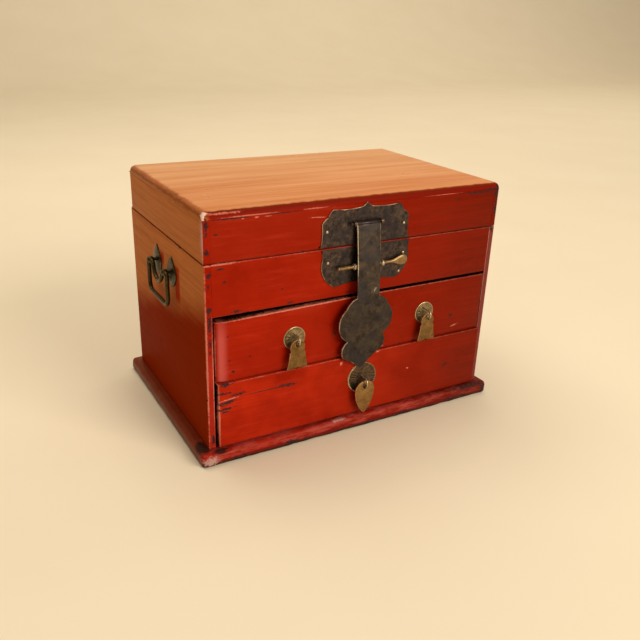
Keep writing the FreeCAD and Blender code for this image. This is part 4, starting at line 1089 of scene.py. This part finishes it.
def hasp_depth(z):
    """How far the middle of the hasp's sheet is off the case, in mm: a bow, then a straight tongue."""
    if z < STRAP_END:
        depth = TIP_DEPTH + (BOW_DEPTH - TIP_DEPTH) * (z - TONGUE_TIP) / (STRAP_END - TONGUE_TIP)
    else:
        bow = ((HASP_PIVOT, PIVOT_DEPTH), (PIN_LEVEL, PIN_DEPTH), (STRAP_END, BOW_DEPTH))
        depth = sum(reach * math.prod((z - other) / (level - other) for other, _ in bow if other != level)
                    for level, reach in bow)
    return depth + HASP_THICKNESS / 2


def hasp():
    """The strap and its cloud-shaped tongue: a grid drawn to the outline, bowed, thickened and eased."""
    cloud = [(33.8, -32, 2.8), (26.3, -12, 2), (STRAP_HALF, 0, 0)]
    right = [(-1.5, -86.6, -0.7), (20.4, -67.4, 2), (26.6, -57.2, 2), (22, -47.4, 2.8)]
    left = [(2.7, -86.6, -0.7), (21.4, -73.0, 2), (28, -63.4, 2), (22, -50.6, 2.8)]
    shares = [i / STRAP_STEPS for i in range(1, STRAP_STEPS + 1)]
    strap = [(STRAP_HALF + STRAP_WIDENING * share, STRAP_RUN * share) for share in shares]
    left, right = (
        [(half, STRAP_END + rise) for half, rise in bowed(side + cloud, 10) + strap]
        for side in (left, right))
    rows = list(zip(left, right))
    bpy.ops.object.select_all(action="DESELECT")
    bpy.ops.mesh.primitive_grid_add(x_subdivisions=HASP_COLUMNS - 1, y_subdivisions=len(rows) - 1, size=MM)
    piece = bpy.context.object
    edit(piece)
    mesh = bmesh.from_edit_mesh(piece.data)
    mesh.verts.ensure_lookup_table()
    for i, vertex in enumerate(mesh.verts):
        (x0, z0), (x1, z1) = rows[i // HASP_COLUMNS]
        half = (x0 + x1) / 2
        share = 2 * (i % HASP_COLUMNS) / (HASP_COLUMNS - 1) - 1
        if abs(share) < 1:
            share *= max(0.2, 1 - HASP_RIM / half) * (HASP_COLUMNS - 1) / (HASP_COLUMNS - 3)
        z = z0 + (z1 - z0) * (share + 1) / 2
        vertex.co = Vector(((x1 - x0) / 2 + share * half, FACE - hasp_depth(z), z)) * MM
    bmesh.update_edit_mesh(piece.data)
    bpy.ops.mesh.select_all(action="SELECT")
    bpy.ops.mesh.normals_make_consistent(inside=False)
    edit(piece, False)
    finish_with(piece, "SOLIDIFY", thickness=HASP_THICKNESS * MM, offset=0, use_even_offset=True)
    ease(piece, 0.5, 3)
    loop = right + [(-x, z) for x, z in reversed(left)]

    def near(point):
        x, z = point.x / MM, point.z / MM
        rim = nearness(loop, x, z, HASP_RIM)
        if z < STRAP_END + 1.2:
            return rim
        upper = min(1.0, max(0.0, (z - BRIGHT_FROM) / BRIGHT_RUN))
        return rim * (0.55 + 0.45 * upper) + upper * max(0.0, abs(x) - STRAP_HALF + 1) * 0.5

    rim_layer(piece, near)
    smooth(piece)
    return piece


settle(hasp(), "bronze_hasp", "hasp", "dark_bronze", strap_bronze, "hasp")


def turned(profile, start, axis=TO_RIGHT, steps=32):
    """A piece turned on a lathe: a profile of (along, radius) in mm, spun about an axis."""
    side = axis.orthogonal().normalized()
    start = Vector(start) * MM
    bpy.ops.object.select_all(action="DESELECT")
    bpy.ops.mesh.primitive_circle_add(vertices=len(profile), radius=MM)
    piece = bpy.context.object
    edit(piece)
    mesh = bmesh.from_edit_mesh(piece.data)
    mesh.verts.ensure_lookup_table()
    ends = (mesh.verts[0], mesh.verts[len(profile) - 1])
    for vertex, (reach, radius) in zip(mesh.verts, profile):
        vertex.co = start + axis * reach * MM + side * radius * MM
    bmesh.update_edit_mesh(piece.data)
    pick("EDGE", lambda edge: edge.verts[0] in ends and edge.verts[1] in ends)
    bpy.ops.mesh.delete(type="EDGE")
    bpy.ops.mesh.select_all(action="SELECT")
    bpy.ops.mesh.spin(steps=steps, angle=math.tau, center=start, axis=axis)
    edit(piece, False)
    closed(piece)
    smooth(piece, 50)
    return piece


rolled = [(0, 0), (0, 1.7), (0.4, 2.1)]
rolled += [(KNUCKLE_LENGTH - reach, radius) for reach, radius in reversed(rolled)]
knuckle = turned(rolled, (-KNUCKLE_LENGTH / 2, HASP_PIN, HASP_PIVOT))
settle(knuckle, "bronze_hasp_knuckle", "hasp", "dark_bronze", bronze)

eyelet = [(0, 2.2), (0.2, 2.8), (0.8, 3.4), (1.6, 3.7)]
eyelet += [(EYELET_LENGTH - reach, radius) for reach, radius in reversed(eyelet)]
eyelet += [(EYELET_LENGTH / 2, 2.15), (0, 2.2)]
eyelets = join([turned(eyelet, (x - EYELET_LENGTH / 2, LOCK_PIN, PIN_LEVEL)) for x in EYELETS])
settle(eyelets, "brass_lock_eyelets", "case", "antique_brass", nail_brass, "lock_eyelets")

ribs = [(0, 0), (0.1, 1.3), (0.6, 1.8), (1.4, 2.0), (2.6, 2.0)]
groove = ((2.9, 1.72), (3.3, 1.72), (3.7, 1.98), (4.5, 1.98))
for i in range(RIB_COUNT):
    ribs += [(reach + RIB_STEP * i, radius) for reach, radius in groove]
spoon = [(58, 2.0), (60, 1.75), (64, 1.5), (67, 1.6), (70, 2.2), (73, 3.3), (76, 4.5), (79, 5.5),
         (81.5, 5.95), (84, 5.7), (86, 4.8), (87.4, 3.3), (88.2, 1.6), (88.5, 0)]
piece = turned(ribs + [(20, 2.0)] + spoon, (PIN_LEFT, LOCK_PIN, PIN_LEVEL))
for vertex in piece.data.vertices:
    flat = min(1.0, max(0.0, (vertex.co.x / MM - PIN_NECK) / NECK_RUN))
    vertex.co.y = LOCK_PIN * MM + (vertex.co.y - LOCK_PIN * MM) * (1 - SPOON_FLATNESS * flat)
smooth(piece, 50)
settle(piece, "brass_lock_pin", "lock_pin", "antique_brass", bright_brass, "lock_pin")


def nails(name, body, places, material, *stands_for):
    """Round nail heads on the lock plate, each turned as a low dome."""
    dome = [(0, 0), (0, 1.6), (0.3, 1.55), (0.6, 1.3), (0.85, 0.8), (1.0, 0)]
    heads = [turned(dome, (x, FACE - PLATE_THICKNESS, z), TO_FRONT, 20) for x, z in places]
    settle(join(heads), name, body, "dark_bronze", material, *stands_for)


nails("brass_lock_nails_upper", "lid", ((-47.4, 235.8), (47.4, 235.8)), nail_brass, "lock_plate_upper_nails")
nails("brass_lock_nails_lower", "case", ((-45.1, 202.5), (49.1, 202.5), (45.1, 181.7)), nail_brass,
      "lock_plate_lower_nails")
nails("dull_lock_nail_lower", "case", ((-41.1, 181.7),), old_brass)


# CAD nodes that keep their shape

boards = softwood("aged softwood boards", ALONG_X)
runners = softwood("aged softwood runners", ALONG_Y)
FINISHES = (
    ("compartment_floor", boards), ("drawer_shelf", boards), ("drawer_back", boards),
    ("drawer_bottom", boards), ("drawer_sides", runners), ("drawer_divider", runners),
    ("staple", nail_brass), ("hasp_hinge_eyes", plate_bronze), ("hinge", bronze), ("handle", old_brass),
)
for name, node in frame["nodes"].items():
    if not node.hide_render:
        node.data.materials.clear()
        node.data.materials.append(next(material for word, material in FINISHES if word in name))

low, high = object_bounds()
